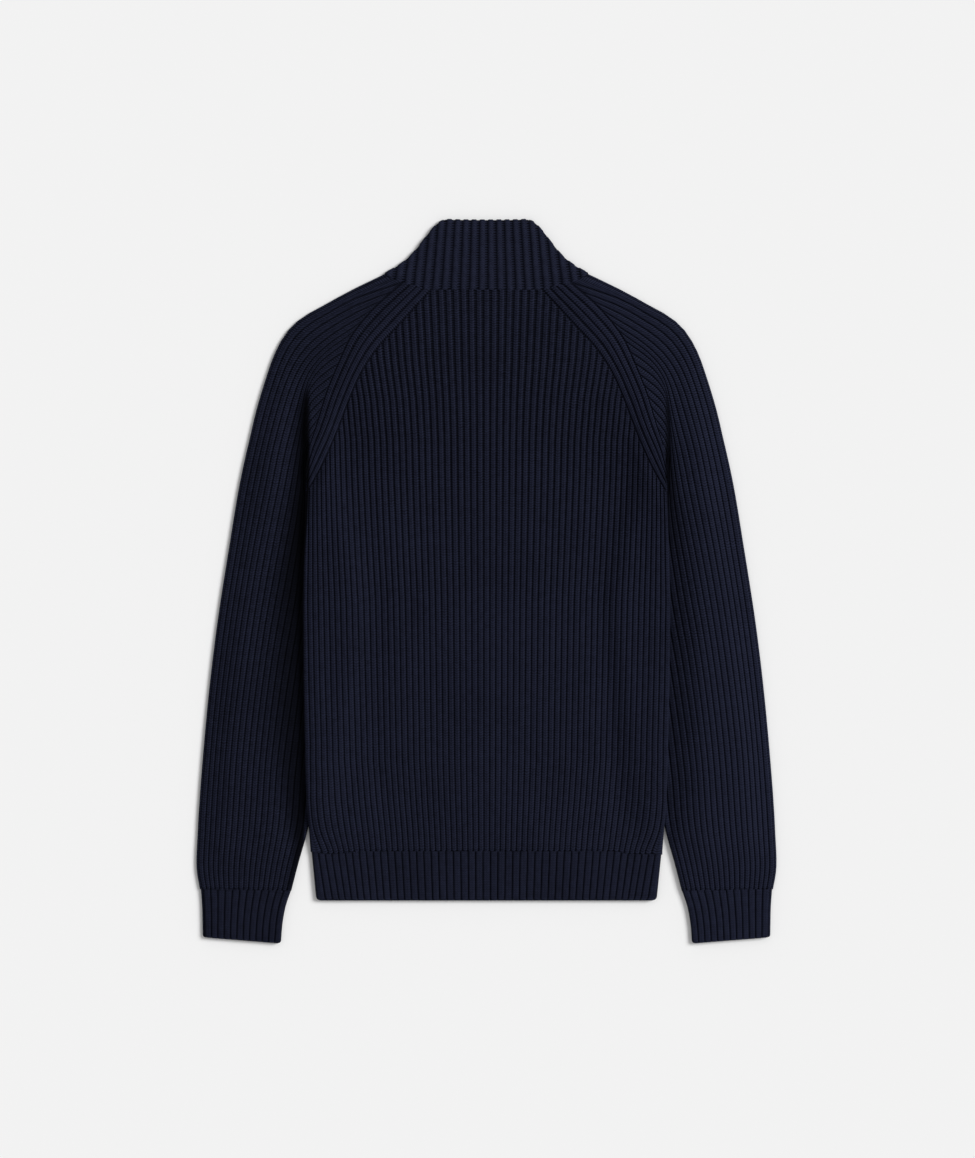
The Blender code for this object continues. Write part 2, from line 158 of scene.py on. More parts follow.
# Share of the rib pitch that is open groove: up the body, then on the other pieces.
BODY_GROOVES = table(
    "y share",
    (-297, 0.05),
    (-60, 0.08),
    (60, 0.12),
    (140, 0.17),
    (220, 0.23),
    (321, 0.27),
)
SLEEVE_GROOVE = 0.06
BAND_GROOVE = 0.16
FLAT_GROOVE = 0.02
COLLAR_GROOVE = 0.28

# Share of half a pitch that the side of a rib takes.
ROUND_WALL = 0.36
FLAT_WALL = 0.20
COLLAR_WALL = 0.26

# The raglan seam, with the edge of the parallel ribs on its body side and sleeve side.
RAGLAN = table(
    "body_x body_y seam_x seam_y sleeve_x sleeve_y",
    (61.0, 320.3, 76.5, 324.1, 92.0, 328.0),
    (98.0, 280.0, 112.5, 288.5, 127.0, 297.0),
    (120.0, 256.0, 134.0, 263.5, 148.0, 271.0),
    (139.5, 226.0, 151.5, 232.0, 163.5, 238.5),
    (150.5, 200.5, 162.5, 206.5, 174.5, 212.0),
    (165.0, 162.5, 176.5, 166.5, 187.5, 169.5),
    (181.0, 126.0, 187.8, 140.0, 193.5, 151.0),
    (197.0, 98.0, 198.0, 113.0, 198.5, 124.0),
)
RAGLAN_POINTS = 57

# Where six ribs of the sleeve run, from its underarm (inner) to its outer fold, down the sleeve.
SLEEVE_GUIDES = {"inner": 0.0, "low": 4.5, "middle": 9.0, "high": 12.0, "upper": 14.0, "outer": 19.0}
SHOULDER_POINT = (112.0, 337.0)
SLEEVE_TOP = (110.9, 334.8)
SLEEVE = table(
    "outer_x outer_y upper_x upper_y high_x high_y middle_x middle_y low_x low_y inner_x inner_y",
    (150, 319, 149.5, 276.5, 163, 256, 174.5, 222, 189.5, 168.5, 198.2, 122.5),
    (178, 303.6, 164.5, 267, 174, 248, 181, 217, 192.5, 164, 197.8, 121),
    (199.7, 291.5, 177, 257.5, 183, 240, 187, 212, 195.5, 159.5, 197.2, 119),
    (214.6, 279.4, 188, 247.5, 190, 231, 192, 206.5, 198, 154.5, 196.5, 117),
    (226.4, 262.9, 197, 236.5, 196, 220, 196, 199.5, 199.8, 148.5, 195.5, 114),
    (235.1, 244.2, 204.5, 223, 200, 206, 199, 188, 200.8, 140, 194.5, 109),
    (243, 221.1, 211, 206, 203, 190, 200.8, 172, 201.2, 129, 193, 101),
    (251.4, 193.6, 217.5, 184, 207.5, 170, 201.6, 152, 201, 114, 190, 90),
    (260.7, 155.1, 226.5, 150, 214, 143, 202.3, 126, 199.5, 92, 180, 50),
    (270.5, 111.1, 235.5, 106, 222.5, 100, 206.5, 84, 190.5, 40, 168, -12),
    (282.5, 40, 250.6, 28, 237.6, 22, 218.8, 12, 194, -24, 171, -70),
    (297.5, -58, 266, -68, 253.4, -73, 235, -82, 207.5, -108, 182, -150),
    (310.2, -174.9, 279.8, -182, 267.2, -186, 248.4, -192, 220.4, -205, 190, -225),
    (317.4, -275, 286.2, -275.5, 273.8, -275.7, 255.1, -276, 226.4, -276.5, 197.4, -277),
    (318.5, -318, 289.3, -317, 277.6, -316.5, 260.1, -316, 233.8, -315, 207.8, -314),
    (315, -338.8, 288.4, -339.2, 277.8, -339.4, 261.8, -339.6, 237.9, -340, 214.6, -340.4),
)
LIFTED_SLEEVE_ROWS = 6
LIFTED_UNDERARM_ROWS = 0.5
LIFTED_FROM_PLACE = 9.0
LET_DOWN_ROWS = 1.5
RIBS_CROWD_AT_UNDERARM = 0.19
UNDER_RAGLAN_SHARE = 0.75

CUFF = table(
    "outer_x outer_y inner_x inner_y",
    (314.0, -338.5, 214.9, -340.1),
    (312.7, -356.0, 220.6, -356.9),
    (312.2, -373.6, 224.2, -376.2),
    (311.9, -391.6, 226.0, -398.2),
)

# How far out the body lies over the sleeve; above the underarm this is the armhole crease.
CREASE = table("y x", (60, 203.0), (116, 198.0), (217, 195.5))

# Neck edge of the back and the sleeves, and the top outline of the laid collar.
NECK_LINE = [(0.0, NECK_Y), (61.0, NECK_Y), (92.0, 328.0), SHOULDER_POINT]
COLLAR_OUTLINE = [
    (0.0, 397.5),
    (30.0, 397.7),
    (44.5, COLLAR_TOP_Y),
    (51.2, 396.0),
    (57.6, 390.5),
    (64.9, 381.7),
    (71.5, 372.9),
    (77.6, 365.2),
    (84.4, 357.5),
    (91.0, 352.0),
    (97.4, 347.4),
    (104.5, 343.3),
    (112.0, 339.0),
]
COLLAR_PITCH_AT_NECK = 10.2
COLLAR_PITCH_AT_TOP = 9.0
COLLAR_SCALLOP = 0.9
COLLAR_SCALLOP_FROM_SHARE = 0.9
COLLAR_SCALLOP_GROWS_IN = 0.1
COLLAR_FULLNESS = 1.6
COLLAR_FULL_AT_SHARE = 0.3
COLLAR_FULL_FROM_EDGE = 16.0

# Hidden side: the fronts part above the breast, and the collar ends turn down with them.
FRONT_RAGLAN_BEND = (183.0, 152.0)
FRONT_RAGLAN_TOP = (105.0, 309.0)
FRONT_NECK_END = (86.4, 234.3)
FRONTS_MEET = (FRONT_GAP, 23.0)
FRONT_STOPS = (0.0, 0.2, 0.4, 0.55, 0.63, 0.68, 0.73, 0.78, 0.83, 0.88, 0.93, 0.97, 1.0)
FRONT_NECK_COLUMNS = 2
FRONT_ROWS_BELOW = 34
FRONT_ROWS_ABOVE = 30
COLLAR_END_TOP = (18.0, 276.0)
COLLAR_FOLD_TOP = (49.0, 393.0)
COLLAR_FOLD = [(97.0, 346.2), (83.5, 356.5), (70.5, 371.8)]

# Painted shadow: the shade that the edge of the body throws on the sleeves, painted into the
# yarn colour. The lamp stands at the right.
BODY_SHADE = table(
    "y left_from left_width left_depth right_from right_width right_depth",
    (216, 196.0, 4, 0.0, 197.0, 4, 0.0),
    (203, 195.5, 8, 0.95, 197.0, 5, 0.5),
    (185, 194.6, 15, 1.0, 196.5, 7, 0.8),
    (116, 194.4, 20, 1.0, 196.5, 13, 0.88),
    (67, 196.6, 26, 1.0, 199.0, 17, 0.72),
    (23, 200.0, 30, 0.97, 201.0, 23, 0.55),
    (-40, 200.5, 37, 0.88, 201.0, 27, 0.5),
    (-150, 200.0, 40, 0.82, 201.0, 27, 0.45),
    (-240, 199.0, 25, 0.84, 200.0, 20, 0.4),
    (-290, 201.0, 11, 0.93, 201.0, 9, 0.5),
    (-314, 207.0, 9, 0.88, 207.0, 8, 0.4),
    (-338, 213.0, 8, 0.6, 213.0, 7, 0.3),
)
SHADE_POWER = 3
SHADE_STARTS_BEFORE = 2.0
SHADE_START_WIDTH = 3.0
# Painted side light and shade: the left sleeve and cuff darker, the right ones lighter.
LEFT_SIDE_SHADE = 0.18
RIGHT_SIDE_LIGHT = 0.20
RIGHT_FOLD_LIGHT = 0.12
FOLD_LIGHT_FROM_X = 215.0
FOLD_LIGHT_WIDTH = 60.0

# Soft fullness of the laid body. Its ends are shares of the length, its roll of the half width.
BODY_FULLNESS = 2.2
BODY_FULLNESS_LOST = 0.55
BODY_FULLNESS_POWER = 4
BODY_HEM_SHARE = 0.08
BODY_TOP_SHARE = 0.06
BODY_ROLL = 1.6
BODY_ROLL_AT = 0.93
BODY_ROLL_WIDTH = 0.05

# Soft fullness of the laid sleeve, and how far in from each of its edges it grows.
SLEEVE_FULLNESS = 6.5
SLEEVE_FULL_FROM_X = 204.0
SLEEVE_BODY_WIDTH = 38.0
SLEEVE_FOLD_WIDTH = 34.0
SLEEVE_TOP_LENGTH = 24.0
SLEEVE_CUFF_LENGTH = 60.0

# Soft troughs down the back on each side.
LEFT_TROUGH = table(
    "x y width depth",
    (-133, 170, 10, 0.0),
    (-132, 111, 11, 0.8),
    (-121, 23, 12, 1.2),
    (-117, -65, 11, 1.3),
    (-119, -131, 10, 1.5),
    (-121, -197, 9, 1.5),
    (-108, -263, 8, 1.3),
    (-108, -297, 7, 0.6),
)
RIGHT_TROUGH = table(
    "x y width depth",
    (128, 160, 11, 0.0),
    (130, 111, 12, 0.9),
    (123, 23, 13, 1.2),
    (128, -65, 12, 1.3),
    (135, -131, 10, 1.4),
    (137, -197, 9, 1.5),
    (145, -263, 8, 1.2),
    (147, -297, 7, 0.5),
)

# Stops across one rib, counted in ribs, and round the fold of a tube, counted in half turns.
ROUND_RIB = (0.0, 0.13, 0.25, 0.42, 0.58, 0.75, 0.87)
UNDER_RIB = (0.0, 0.2, 0.5, 0.8)
FLAT_RIB = (0.0, 0.05, 0.11, 0.35, 0.65, 0.89, 0.95)
COLLAR_RIB = (0.0, 0.14, 0.2, 0.27, 0.5, 0.73, 0.8, 0.86)
FOLD_STOPS = (0.14, 0.3, 0.42, 0.5, 0.58, 0.7, 0.86)
FOLD_FULLNESS_POWER = 0.35

# Distances of the first rows from an edge where ribs end, and the even rows between.
EDGE_ROWS = (0.0, 0.6, 1.4, 2.5, 4.0, 6.2)
ROW_STEP = 7.4
BAND_ROW_STEP = 6.0
COLLAR_ROW_STEP = 4.0

# Ends of the ribs, and the rounded edges and corners.
SEAM_OVERLAP = 0.02
RIB_END = 3.6
RIB_END_WIDTH = 0.2
NARROWEST_RIB = 0.02
POINTED_END = 2.6
EDGE_RIB_FROM = 0.75
EDGE_RIB_WIDTH = 0.35
HEM_CORNER = 4.4
CUFF_CORNER = 3.0
CORNER_POWER = 9
EDGE_ROUND = 2.6
THINNEST = 0.14
SHARP_ANGLE = math.radians(70)
BISECTIONS = 40

# The frame of the photograph, and the millimetres that one of its pixels covers.
PHOTO_SIZE = (975, 1158)
MM_PER_PIXEL = 1.10
CENTRE_PIXEL = (486.5, 581.0)
CAMERA_HEIGHT = 4.0
CAMERA_REACH = 40.0
SENSOR_HEIGHT = 24.0
FLOOR_HALF_SIZE = 6.0
LAMP_PLACE = (1.35, 0.5, 1.2)
LAMP_ANGLE = math.radians(26)


# ---- Curves and tables ----


def smooth(value):
    """Ramp from 0 to 1 with flat ends."""
    t = np.clip(value, 0.0, 1.0)
    return t * t * (3.0 - 2.0 * t)


def mix(a, b, t):
    return a + (b - a) * t


def column(rows, name):
    return np.array([getattr(row, name) for row in rows], float)


def lookup(position, rows, name, key="y"):
    """Value of one column of a table, read between its rows by another column."""
    keys, values = column(rows, key), column(rows, name)
    order = np.argsort(keys)
    return np.interp(position, keys[order], values[order])


def edge_line(rows, name):
    return np.stack([column(rows, name + "_x"), column(rows, name + "_y")], axis=-1)


def steps_along(points):
    return np.hypot(*np.diff(points, axis=0).T)


def reached(points):
    """How far along a broken line each of its points lies, as a share of its length."""
    steps = steps_along(points)
    return np.concatenate([[0.0], np.cumsum(steps)]) / steps.sum()


def along(points, fraction):
    """Points at fractions of the length of a broken line."""
    points = np.array(points, float)
    shares = reached(points)
    return np.stack([np.interp(fraction, shares, axis) for axis in points.T], axis=-1)


def between(start, end, fraction):
    start, end = np.asarray(start, float), np.asarray(end, float)
    return mix(start, end, np.asarray(fraction, float)[..., None])


def away_from(points, xy):
    """Distance of each place from a broken line."""
    best = np.full(xy.shape[:-1], np.inf)
    for start, end in zip(np.array(points[:-1], float), np.array(points[1:], float)):
        run = end - start
        t = np.clip(((xy - start) @ run) / (run @ run), 0.0, 1.0)
        best = np.minimum(best, np.linalg.norm(xy - start - t[..., None] * run, axis=-1))
    return best


def outward_from(line):
    """Directions square to a line down a sleeve, pointing away from the body."""
    run = np.gradient(line, axis=0)
    run /= np.linalg.norm(run, axis=-1, keepdims=True)
    outward = np.stack([-run[:, 1], run[:, 0]], axis=-1)
    return outward * np.sign(outward[:, :1] + outward[:, 1:])


def through(stops, control, wanted):
    """Smooth curves through rows of control points, at the wanted places between stops."""
    stops = np.asarray(stops, float)
    step = np.diff(stops)[:, None, None]
    slope = np.diff(control, axis=0) / step
    tangent = np.empty_like(control)
    tangent[0], tangent[-1] = slope[0], slope[-1]
    tangent[1:-1] = (slope[:-1] * step[1:] + slope[1:] * step[:-1]) / (step[:-1] + step[1:])
    i = np.clip(np.searchsorted(stops, wanted, side="right") - 1, 0, len(stops) - 2)
    h = (stops[i + 1] - stops[i])[:, None, None]
    u = (np.asarray(wanted) - stops[i])[:, None, None] / h
    start = (2 * u**3 - 3 * u**2 + 1) * control[i] + (u**3 - 2 * u**2 + u) * h * tangent[i]
    end = (3 * u**2 - 2 * u**3) * control[i + 1] + (u**3 - u**2) * h * tangent[i + 1]
    return start + end


def last_true(test, low, high):
    """For each entry, the largest value between low and high for which a test still holds."""
    for _ in range(BISECTIONS):
        middle = (low + high) / 2
        holds = test(middle)
        low, high = np.where(holds, middle, low), np.where(holds, high, middle)
    return low


def rows_between(length, step=ROW_STEP):
    """Distances of rows along ribs of this length: close at both ends, even between."""
    ends = np.array(EDGE_ROWS)
    inner = np.arange(1, round((length - 2 * ends[-1]) / step))
    even = ends[-1] + inner * (length - 2 * ends[-1]) / (len(inner) + 1)
    return np.concatenate([ends, even, length - ends[::-1]])


def spread_rows(start, end, distances):
    """The same rows laid along ribs of other lengths, keeping the ends' distances."""
    length = np.abs(end - start)
    full = distances[-1]
    near = np.minimum(distances, full - distances)[:, None]
    share = (distances / full)[:, None]
    from_start = np.where(share < 0.5, near, length[None, :] - near)
    even = share * length[None, :]
    hold = smooth(near / EDGE_ROWS[-1] - 1.0)
    return start + np.sign(end - start) * mix(from_start, even, hold)


# ---- Ribs and layers ----


def rib_positions(ribs, stops):
    """Places across a ribbed layer, counted in ribs."""
    return np.append((np.arange(ribs)[:, None] + np.array(stops)[None, :]).ravel(), ribs)


def relief(place, groove, wall=ROUND_WALL, narrow=1.0):
    """Height of the ribs at a place, from 0 in a groove to 1 on a crest.

    groove is the open share of the pitch, and narrow pinches each crest in from its sides.
    """
    from_crest = 1.0 - 2.0 * np.abs(place - np.rint(place))
    from_crest = np.minimum(from_crest / np.maximum(narrow, NARROWEST_RIB), 1.0)
    return smooth((1.0 - groove - from_crest) / wall)


def rounded_end(distance, length):
    """How full a shape still is at this distance from its round end."""
    return np.sqrt(1.0 - np.clip(1.0 - distance / length, 0.0, 1.0) ** 2)


def rib_end(distance):
    """How wide a rib still is at this distance from the seam where it ends."""
    return mix(RIB_END_WIDTH, 1.0, rounded_end(distance, RIB_END))


def closing(distance):
    """How far the layers still stand apart at this distance from a rounded side edge."""
    return np.maximum(rounded_end(distance, EDGE_ROUND), THINNEST)


def upper_wall(settings, raised):
    """Thickness of a layer that faces up, where its ribs are raised this far."""
    return mix(settings.groove_wall, settings.crest_wall, raised) / MM


def under_wall(settings, raised):
    """Thickness of a layer that rests on the floor, where its ribs are raised this far."""
    return mix(settings.under_groove_wall / MM, PLAIN_WALL, raised)


def sleeve_edge(y):
    """Distance of the hidden inner edge of a sleeve from the centre line."""
    return lookup(y, SLEEVE[LIFTED_SLEEVE_ROWS - 1:], "inner_x", key="inner_y")


def lift(x, y):
    """Height by which the body rides up over the inner edge of a sleeve."""
    full_at = sleeve_edge(y) - LIFT_MARGIN
    rise = smooth(1.0 + (np.abs(x) - full_at) / LIFT_SLOPE_WIDTH)
    fall = 1.0 - smooth((np.abs(x) - lookup(y, CREASE, "x")) / CREASE_WIDTH)
    above_hem = smooth((y - LIFT_BOTTOM_Y) / LIFT_BOTTOM_FADE)
    below_crease_tip = smooth((CREASE_TIP_Y - y) / (CREASE_TIP_Y - CREASE_FULL_Y))
    return LIFT * rise * fall * above_hem * below_crease_tip


def parted_lift(xy, way):
    """The lift of an upper (way 1) or lower (way -1) layer, parted a little on the slope."""
    raised = lift(xy[..., 0], xy[..., 1])
    slope = 4.0 * raised * (LIFT - raised) / LIFT**2
    return np.maximum(0.0, raised + way * LIFT_CLEARANCE * slope)


def from_side(xy):
    """Distance of each place from the side edge of the body."""
    return lookup(xy[..., 1], TORSO, "half_width") - np.abs(xy[..., 0])


def at_height(xy, z):
    """Points above places on the floor."""
    return np.concatenate([xy, np.broadcast_to(z, xy.shape[:-1])[..., None]], axis=-1)


def layer(xy, height, thickness, way, open_share=1.0):
    """Inner and outer points of a laid layer: way 1 faces up and way -1 faces down."""
    inner = LAYER_MIDDLE + height + way * (LAYER_GAP / 2 * open_share)
    return at_height(xy, inner), at_height(xy, inner + way * thickness * open_share)


def knit_uv(places, length):
    """Places in ribs, and lengths along them in stitches."""
    return np.stack(np.broadcast_arrays(places, length / STITCH), axis=-1)


def column_lengths(xy):
    """How far down its column each point lies, from the last row."""
    step = np.linalg.norm(np.diff(xy, axis=0), axis=-1)
    from_end = np.cumsum(step[::-1], axis=0)[::-1]
    return np.vstack([from_end, np.zeros(xy.shape[1])])


# ---- Pieces ----

# Each piece or pair: the node it stands for, its knit, its flat size and area in metres, what it
# rests on, and its material.
Piece = namedtuple("Piece", "node slot flat area rests_on wool")


def both(kind):
    return [kind + "_left", kind + "_right"]


PIECES = {
    "back_panel": Piece(
        "back", "body_knit", (0.404, 0.622), 0.218, both("front_panel"), "back_wool"
    ),
    "front_panel": Piece("front", "body_knit", (0.202, 0.606), 0.096, ["floor"], "front_wool"),
    "sleeve_tube": Piece("sleeve", "sleeve_knit", (0.30, 0.70), 0.150, ["floor"], "sleeve_wool"),
    "cuff_band": Piece("cuff", "cuff_knit", (0.19, 0.057), 0.0108, ["floor"], "cuff_wool"),
    "hem_band_back": Piece(
        "hem_back", "hem_knit", (0.387, 0.054), 0.0206, both("hem_band"), "hem_wool"
    ),
    "hem_band": Piece("hem", "hem_knit", (0.193, 0.054), 0.0103, ["floor"], "hem_wool"),
    "collar_band_back": Piece(
        "collar_back", "collar_knit", (0.224, 0.078), 0.0120, both("collar_band"), "collar_wool"
    ),
    "collar_band": Piece(
        "collar_end", "collar_knit", (0.12, 0.085), 0.0090, ["floor"], "collar_wool"
    ),
}


def shell(name, inner, outer, marks, first_uv, then_uv=None, then_from=0, kept=None):
    """Closed cloth wall: a grid laid on the inner points, extruded to the outer points.

    marks holds values of each grid point for the material. first_uv holds its place in ribs
    and in stitches, and then_uv the same for the faces from the row then_from on. Only the
    kept cells of the grid stay.
    """
    rows, columns = inner.shape[0] - 1, inner.shape[1] - 1
    bm = bmesh.new()
    bmesh.ops.create_grid(bm, x_segments=columns, y_segments=rows, size=1.0)
    column_of = bm.verts.layers.int.new("column")
    row_of = bm.verts.layers.int.new("row")
    for vert in bm.verts:
        vert[column_of] = round((vert.co.x + 1.0) / 2.0 * columns)
        vert[row_of] = round((vert.co.y + 1.0) / 2.0 * rows)
    if kept is not None:
        unused = []
        for face in bm.faces:
            cell_column = min(vert[column_of] for vert in face.verts)
            cell_row = min(vert[row_of] for vert in face.verts)
            if not kept[cell_row, cell_column]:
                unused.append(face)
        bmesh.ops.delete(bm, geom=unused, context="FACES")
    inside, outside = (inner * MM).tolist(), (outer * MM).tolist()
    for vert in bm.verts:
        vert.co = inside[vert[row_of]][vert[column_of]]
    raised = bmesh.ops.extrude_face_region(bm, geom=bm.faces[:])
    for vert in raised["geom"]:
        if isinstance(vert, bmesh.types.BMVert):
            vert.co = outside[vert[row_of]][vert[column_of]]
    bmesh.ops.recalc_face_normals(bm, faces=bm.faces[:])
    mesh = bpy.data.meshes.new(name)
    bm.to_mesh(mesh)
    bm.free()
    lay_uv(mesh, marks, first_uv, first_uv if then_uv is None else then_uv, then_from or rows)
    mesh.shade_smooth()
    mesh.set_sharp_from_angle(angle=SHARP_ANGLE)
    piece = bpy.data.objects.new(name, mesh)
    bpy.context.scene.collection.objects.link(piece)
    return piece


def lay_uv(mesh, marks, first_uv, then_uv, then_from):
    """Writes the UV map and the marks from the row and column that each point was given."""
    row_at = np.empty(len(mesh.vertices), np.int32)
    column_at = np.empty(len(mesh.vertices), np.int32)
    mesh.attributes["row"].data.foreach_get("value", row_at)
    mesh.attributes["column"].data.foreach_get("value", column_at)
    corner = np.empty(len(mesh.loops), np.int32)
    mesh.loops.foreach_get("vertex_index", corner)
    start = np.empty(len(mesh.polygons), np.int32)
    total = np.empty(len(mesh.polygons), np.int32)
    mesh.polygons.foreach_get("loop_start", start)
    mesh.polygons.foreach_get("loop_total", total)
    lowest = np.minimum.reduceat(row_at[corner], start)
    past = np.repeat(lowest >= then_from, total)[:, None]
    rows, columns = row_at[corner], column_at[corner]
    uv = np.where(past, then_uv[rows, columns], first_uv[rows, columns])
    uv_map = mesh.uv_layers.new(name="ribs")
    uv_map.data.foreach_set("uv", uv.astype(np.float32).ravel())
    for name, values in marks.items():
        values = np.broadcast_to(values, first_uv.shape[:2])[row_at, column_at]
        attribute = mesh.attributes.new(name, "FLOAT", "POINT")
        attribute.data.foreach_set("value", values.astype(np.float32))
    for name in ("row", "column"):
        mesh.attributes.remove(mesh.attributes[name])


def lay_piece(settings, kind, points, rib, shade, *grid, side=""):
    """Makes one piece, gives it its wool, attaches it to the root and hides the part it replaces."""
    made = PIECES[kind]
    # shade is painted shade for the yarn colour, and painted light where it is below 0.
    piece = shell(kind + side, *points, {"rib": rib, "shade": shade}, *grid)
    piece.data.materials.append(knit_material(made.wool, settings))
    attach(piece, "root")
    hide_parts(made.node + side)


def lay_pair(settings, kind, points, rib, shade_of, *grid):
    """Makes the right piece of a pair, which lies at +X, and its mirror image."""
    for side, way in (("right", 1.0), ("left", -1.0)):
        turned = [laid * (way, 1.0, 1.0) for laid in points]
        lay_piece(settings, kind, turned, rib, shade_of(side), *grid, side="_" + side)


# No painted shade or light.
def unshaded(side):
    return 0.0


# ---- Back ----


def body_x(place, y):
    """Where a rib line of the back runs at height y; place counts ribs from the middle."""
    half_width = lookup(y, TORSO, "half_width")
    half_ribs = BODY_RIBS / 2
    t = place / half_ribs
    fanned = lookup(y, TORSO, "pitch") * half_ribs / half_width
    near_edge = RIB_LEAN_SCALE * np.sign(t) * t**RIB_LEAN_POWER * (1.0 - t**RIB_LEAN_EDGE_POWER)
    lean = near_edge * lookup(y, RIB_LEAN, "shift")
    return half_width * (fanned * t + (1.0 - fanned) * t**BODY_RIB_POWER) - lean


def seam_dip(x):
    """How far the hem seam lies below its middle, at this distance to the right of it."""
    right = RIGHT_SEAM_DIP * smooth((x - SEAM_DIP_FROM_X) / SEAM_DIP_WIDTH)
    left = LEFT_SEAM_DIP * smooth((-SEAM_DIP_FROM_X - x) / SEAM_DIP_WIDTH)
    end = LEFT_DIP_END_SHARE * smooth((-LEFT_DIP_ENDS_X - x) / LEFT_DIP_END_WIDTH)
    return right + left * (1.0 - end)


def band_line(edge):
    """One smooth line along the raglan: its body edge, its seam or its sleeve edge."""
    points = edge_line(RAGLAN, edge)
    return through(reached(points), points[:, None], np.linspace(0.0, 1.0, RAGLAN_POINTS))[:, 0]


def raglan_band(side, on_line, band):
    """Places, ribs and lengths along the seam of the ribs that run beside it on one side."""
    line = band_line(side)
    from_field, to_seam = along(line, on_line), along(band_line("seam"), on_line)
    across = band / BAND_RIBS_EACH_SIDE * (1 + SEAM_OVERLAP)
    xy = between(from_field, to_seam, across[:, None])
    raised = np.broadcast_to(relief(band, BAND_GROOVE)[:, None], xy.shape[:2])
    return xy, raised, on_line * steps_along(line).sum()


def field_top(place):
    """Where a rib line of the back ends: at the neck, or at the ribs along the raglan."""
    edge_x, edge_y = np.vstack([[(0.0, NECK_Y)], band_line("body")]).T

    def below_edge(y):
        return y < np.interp(body_x(np.abs(place), y), edge_x, edge_y)

    low = np.full(place.shape, HEM_SEAM_Y)
    return last_true(below_edge, low, np.full(place.shape, NECK_Y + 1.0))


def trough_depth(xy):
    """Depth of the soft troughs that run down the back."""
    depth = 0.0
    for trough in (LEFT_TROUGH, RIGHT_TROUGH):
        line, width, deep = (lookup(xy[..., 1], trough, part) for part in ("x", "width", "depth"))
        depth = depth + deep * np.exp(-(((xy[..., 0] - line) / width) ** 2))
    return depth


def back_height(xy, share):
    """Height of the back above its flat laid place; share is 0 at the hem and 1 at the top."""
    t = np.abs(xy[..., 0]) / lookup(xy[..., 1], TORSO, "half_width")
    ends = smooth(share / BODY_HEM_SHARE) * smooth((1.0 - share) / BODY_TOP_SHARE)
    crown = BODY_FULLNESS * ends * (1.0 - BODY_FULLNESS_LOST * t**BODY_FULLNESS_POWER)
    roll = BODY_ROLL * ends * np.exp(-(((t - BODY_ROLL_AT) / BODY_ROLL_WIDTH) ** 2))
    return crown + roll - trough_depth(xy) * ends


def body_shade(points, side):
    """How much painted shadow the edge of the body casts on a place beside it, from 0 to 1."""
    x, y, z = np.moveaxis(points, -1, 0)
    start, width, depth = (
        lookup(y, BODY_SHADE, side + "_" + part) for part in ("from", "width", "depth")
    )
    cast = depth * np.exp(-((np.maximum(x - start, 0.0) / width) ** SHADE_POWER))
    started = smooth((x - start + SHADE_STARTS_BEFORE) / SHADE_START_WIDTH)
    return cast * started * (z > LAYER_MIDDLE)


def back_field(settings, places, top, at_neck):
    """Points, ribs and UV of the vertical ribs, from the hem up."""
    bottom = HEM_SEAM_Y - SEAM_LAP / 2 - seam_dip(body_x(places, HEM_SEAM_Y))
    y = spread_rows(bottom, top + SEAM_LAP / 2, rows_between(NECK_Y - HEM_SEAM_Y))
    xy = np.stack([body_x(places[None, :], y), y], axis=-1)
    from_hem, from_top = y - bottom, top - y
    from_left = places + BODY_RIBS / 2
    groove = lookup(y, BODY_GROOVES, "share")
    pointed = np.where(at_neck[None, :], 1.0, smooth(from_top / POINTED_END))
    raised = relief(from_left, groove, narrow=rib_end(from_hem)) * pointed
    at_edge = smooth((np.abs(places) - BODY_RIBS / 2 + EDGE_RIB_FROM) / EDGE_RIB_WIDTH)
    raised = np.maximum(raised, at_edge)
    height = parted_lift(xy, 1) + back_height(xy, from_hem / (top - bottom))
    points = layer(xy, height, upper_wall(settings, raised), 1, closing(from_side(xy)))
    return points, raised, knit_uv(places + 0.5, y)


def back_band(settings, places, field_end):
    """Points, ribs and UV of the ribs along the raglan; its UV also holds the field's last row."""
    band = rib_positions(BAND_RIBS_EACH_SIDE, ROUND_RIB)[1:]
    line = band_line("body")
    on_line = np.interp(np.abs(field_end[:, 0]), line[:, 0], reached(line))
    xy, raised, length = raglan_band("body", on_line, band)
    xy[..., 1] += SEAM_LAP / 2
    height, edge = parted_lift(xy, 1), from_side(xy)
    xy[..., 0] *= np.sign(places)
    points = layer(xy, height, upper_wall(settings, raised), 1, closing(edge))
    return points, raised, knit_uv(np.append(0.0, band)[:, None], length)


def make_back(settings):
    places = rib_positions(BODY_RIBS, ROUND_RIB) - BODY_RIBS / 2
    top = field_top(places)
    at_neck = np.abs(body_x(places, top)) < RAGLAN[0].body_x - NECK_MARGIN
    field, field_rib, field_uv = back_field(settings, places, top, at_neck)
    band, band_rib, band_uv = back_band(settings, places, field[0][-1])
    points = [np.concatenate(rows) for rows in zip(field, band)]
    inner = points[0]
    # Painted shadow of the body's edge along the outer edge of the back.
    right_half = inner * np.where(inner[..., :1] < 0.0, (-1.0, 1.0, 1.0), 1.0)
    shade = np.where(
        places < 0.0, body_shade(right_half, "left"), body_shade(right_half, "right")
    )
    last_row = len(field_rib) - 1
    kept = np.ones((inner.shape[0] - 1, inner.shape[1] - 1), bool)
    kept[last_row:] = ~(at_neck[1:] | at_neck[:-1])
    lay_piece(
        settings,
        "back_panel",
        points,
        np.concatenate([field_rib, band_rib]),
        shade,
        np.concatenate([field_uv, band_uv[1:]]),
        np.concatenate([field_uv[:-1], band_uv]),
        last_row,
        kept,
    )


# ---- Fronts ----


def front_raglan(fraction):
    """Raglan seam of the hidden front, from the underarm up to the neck."""
    return along([UNDERARM, FRONT_RAGLAN_BEND, FRONT_RAGLAN_TOP], fraction)


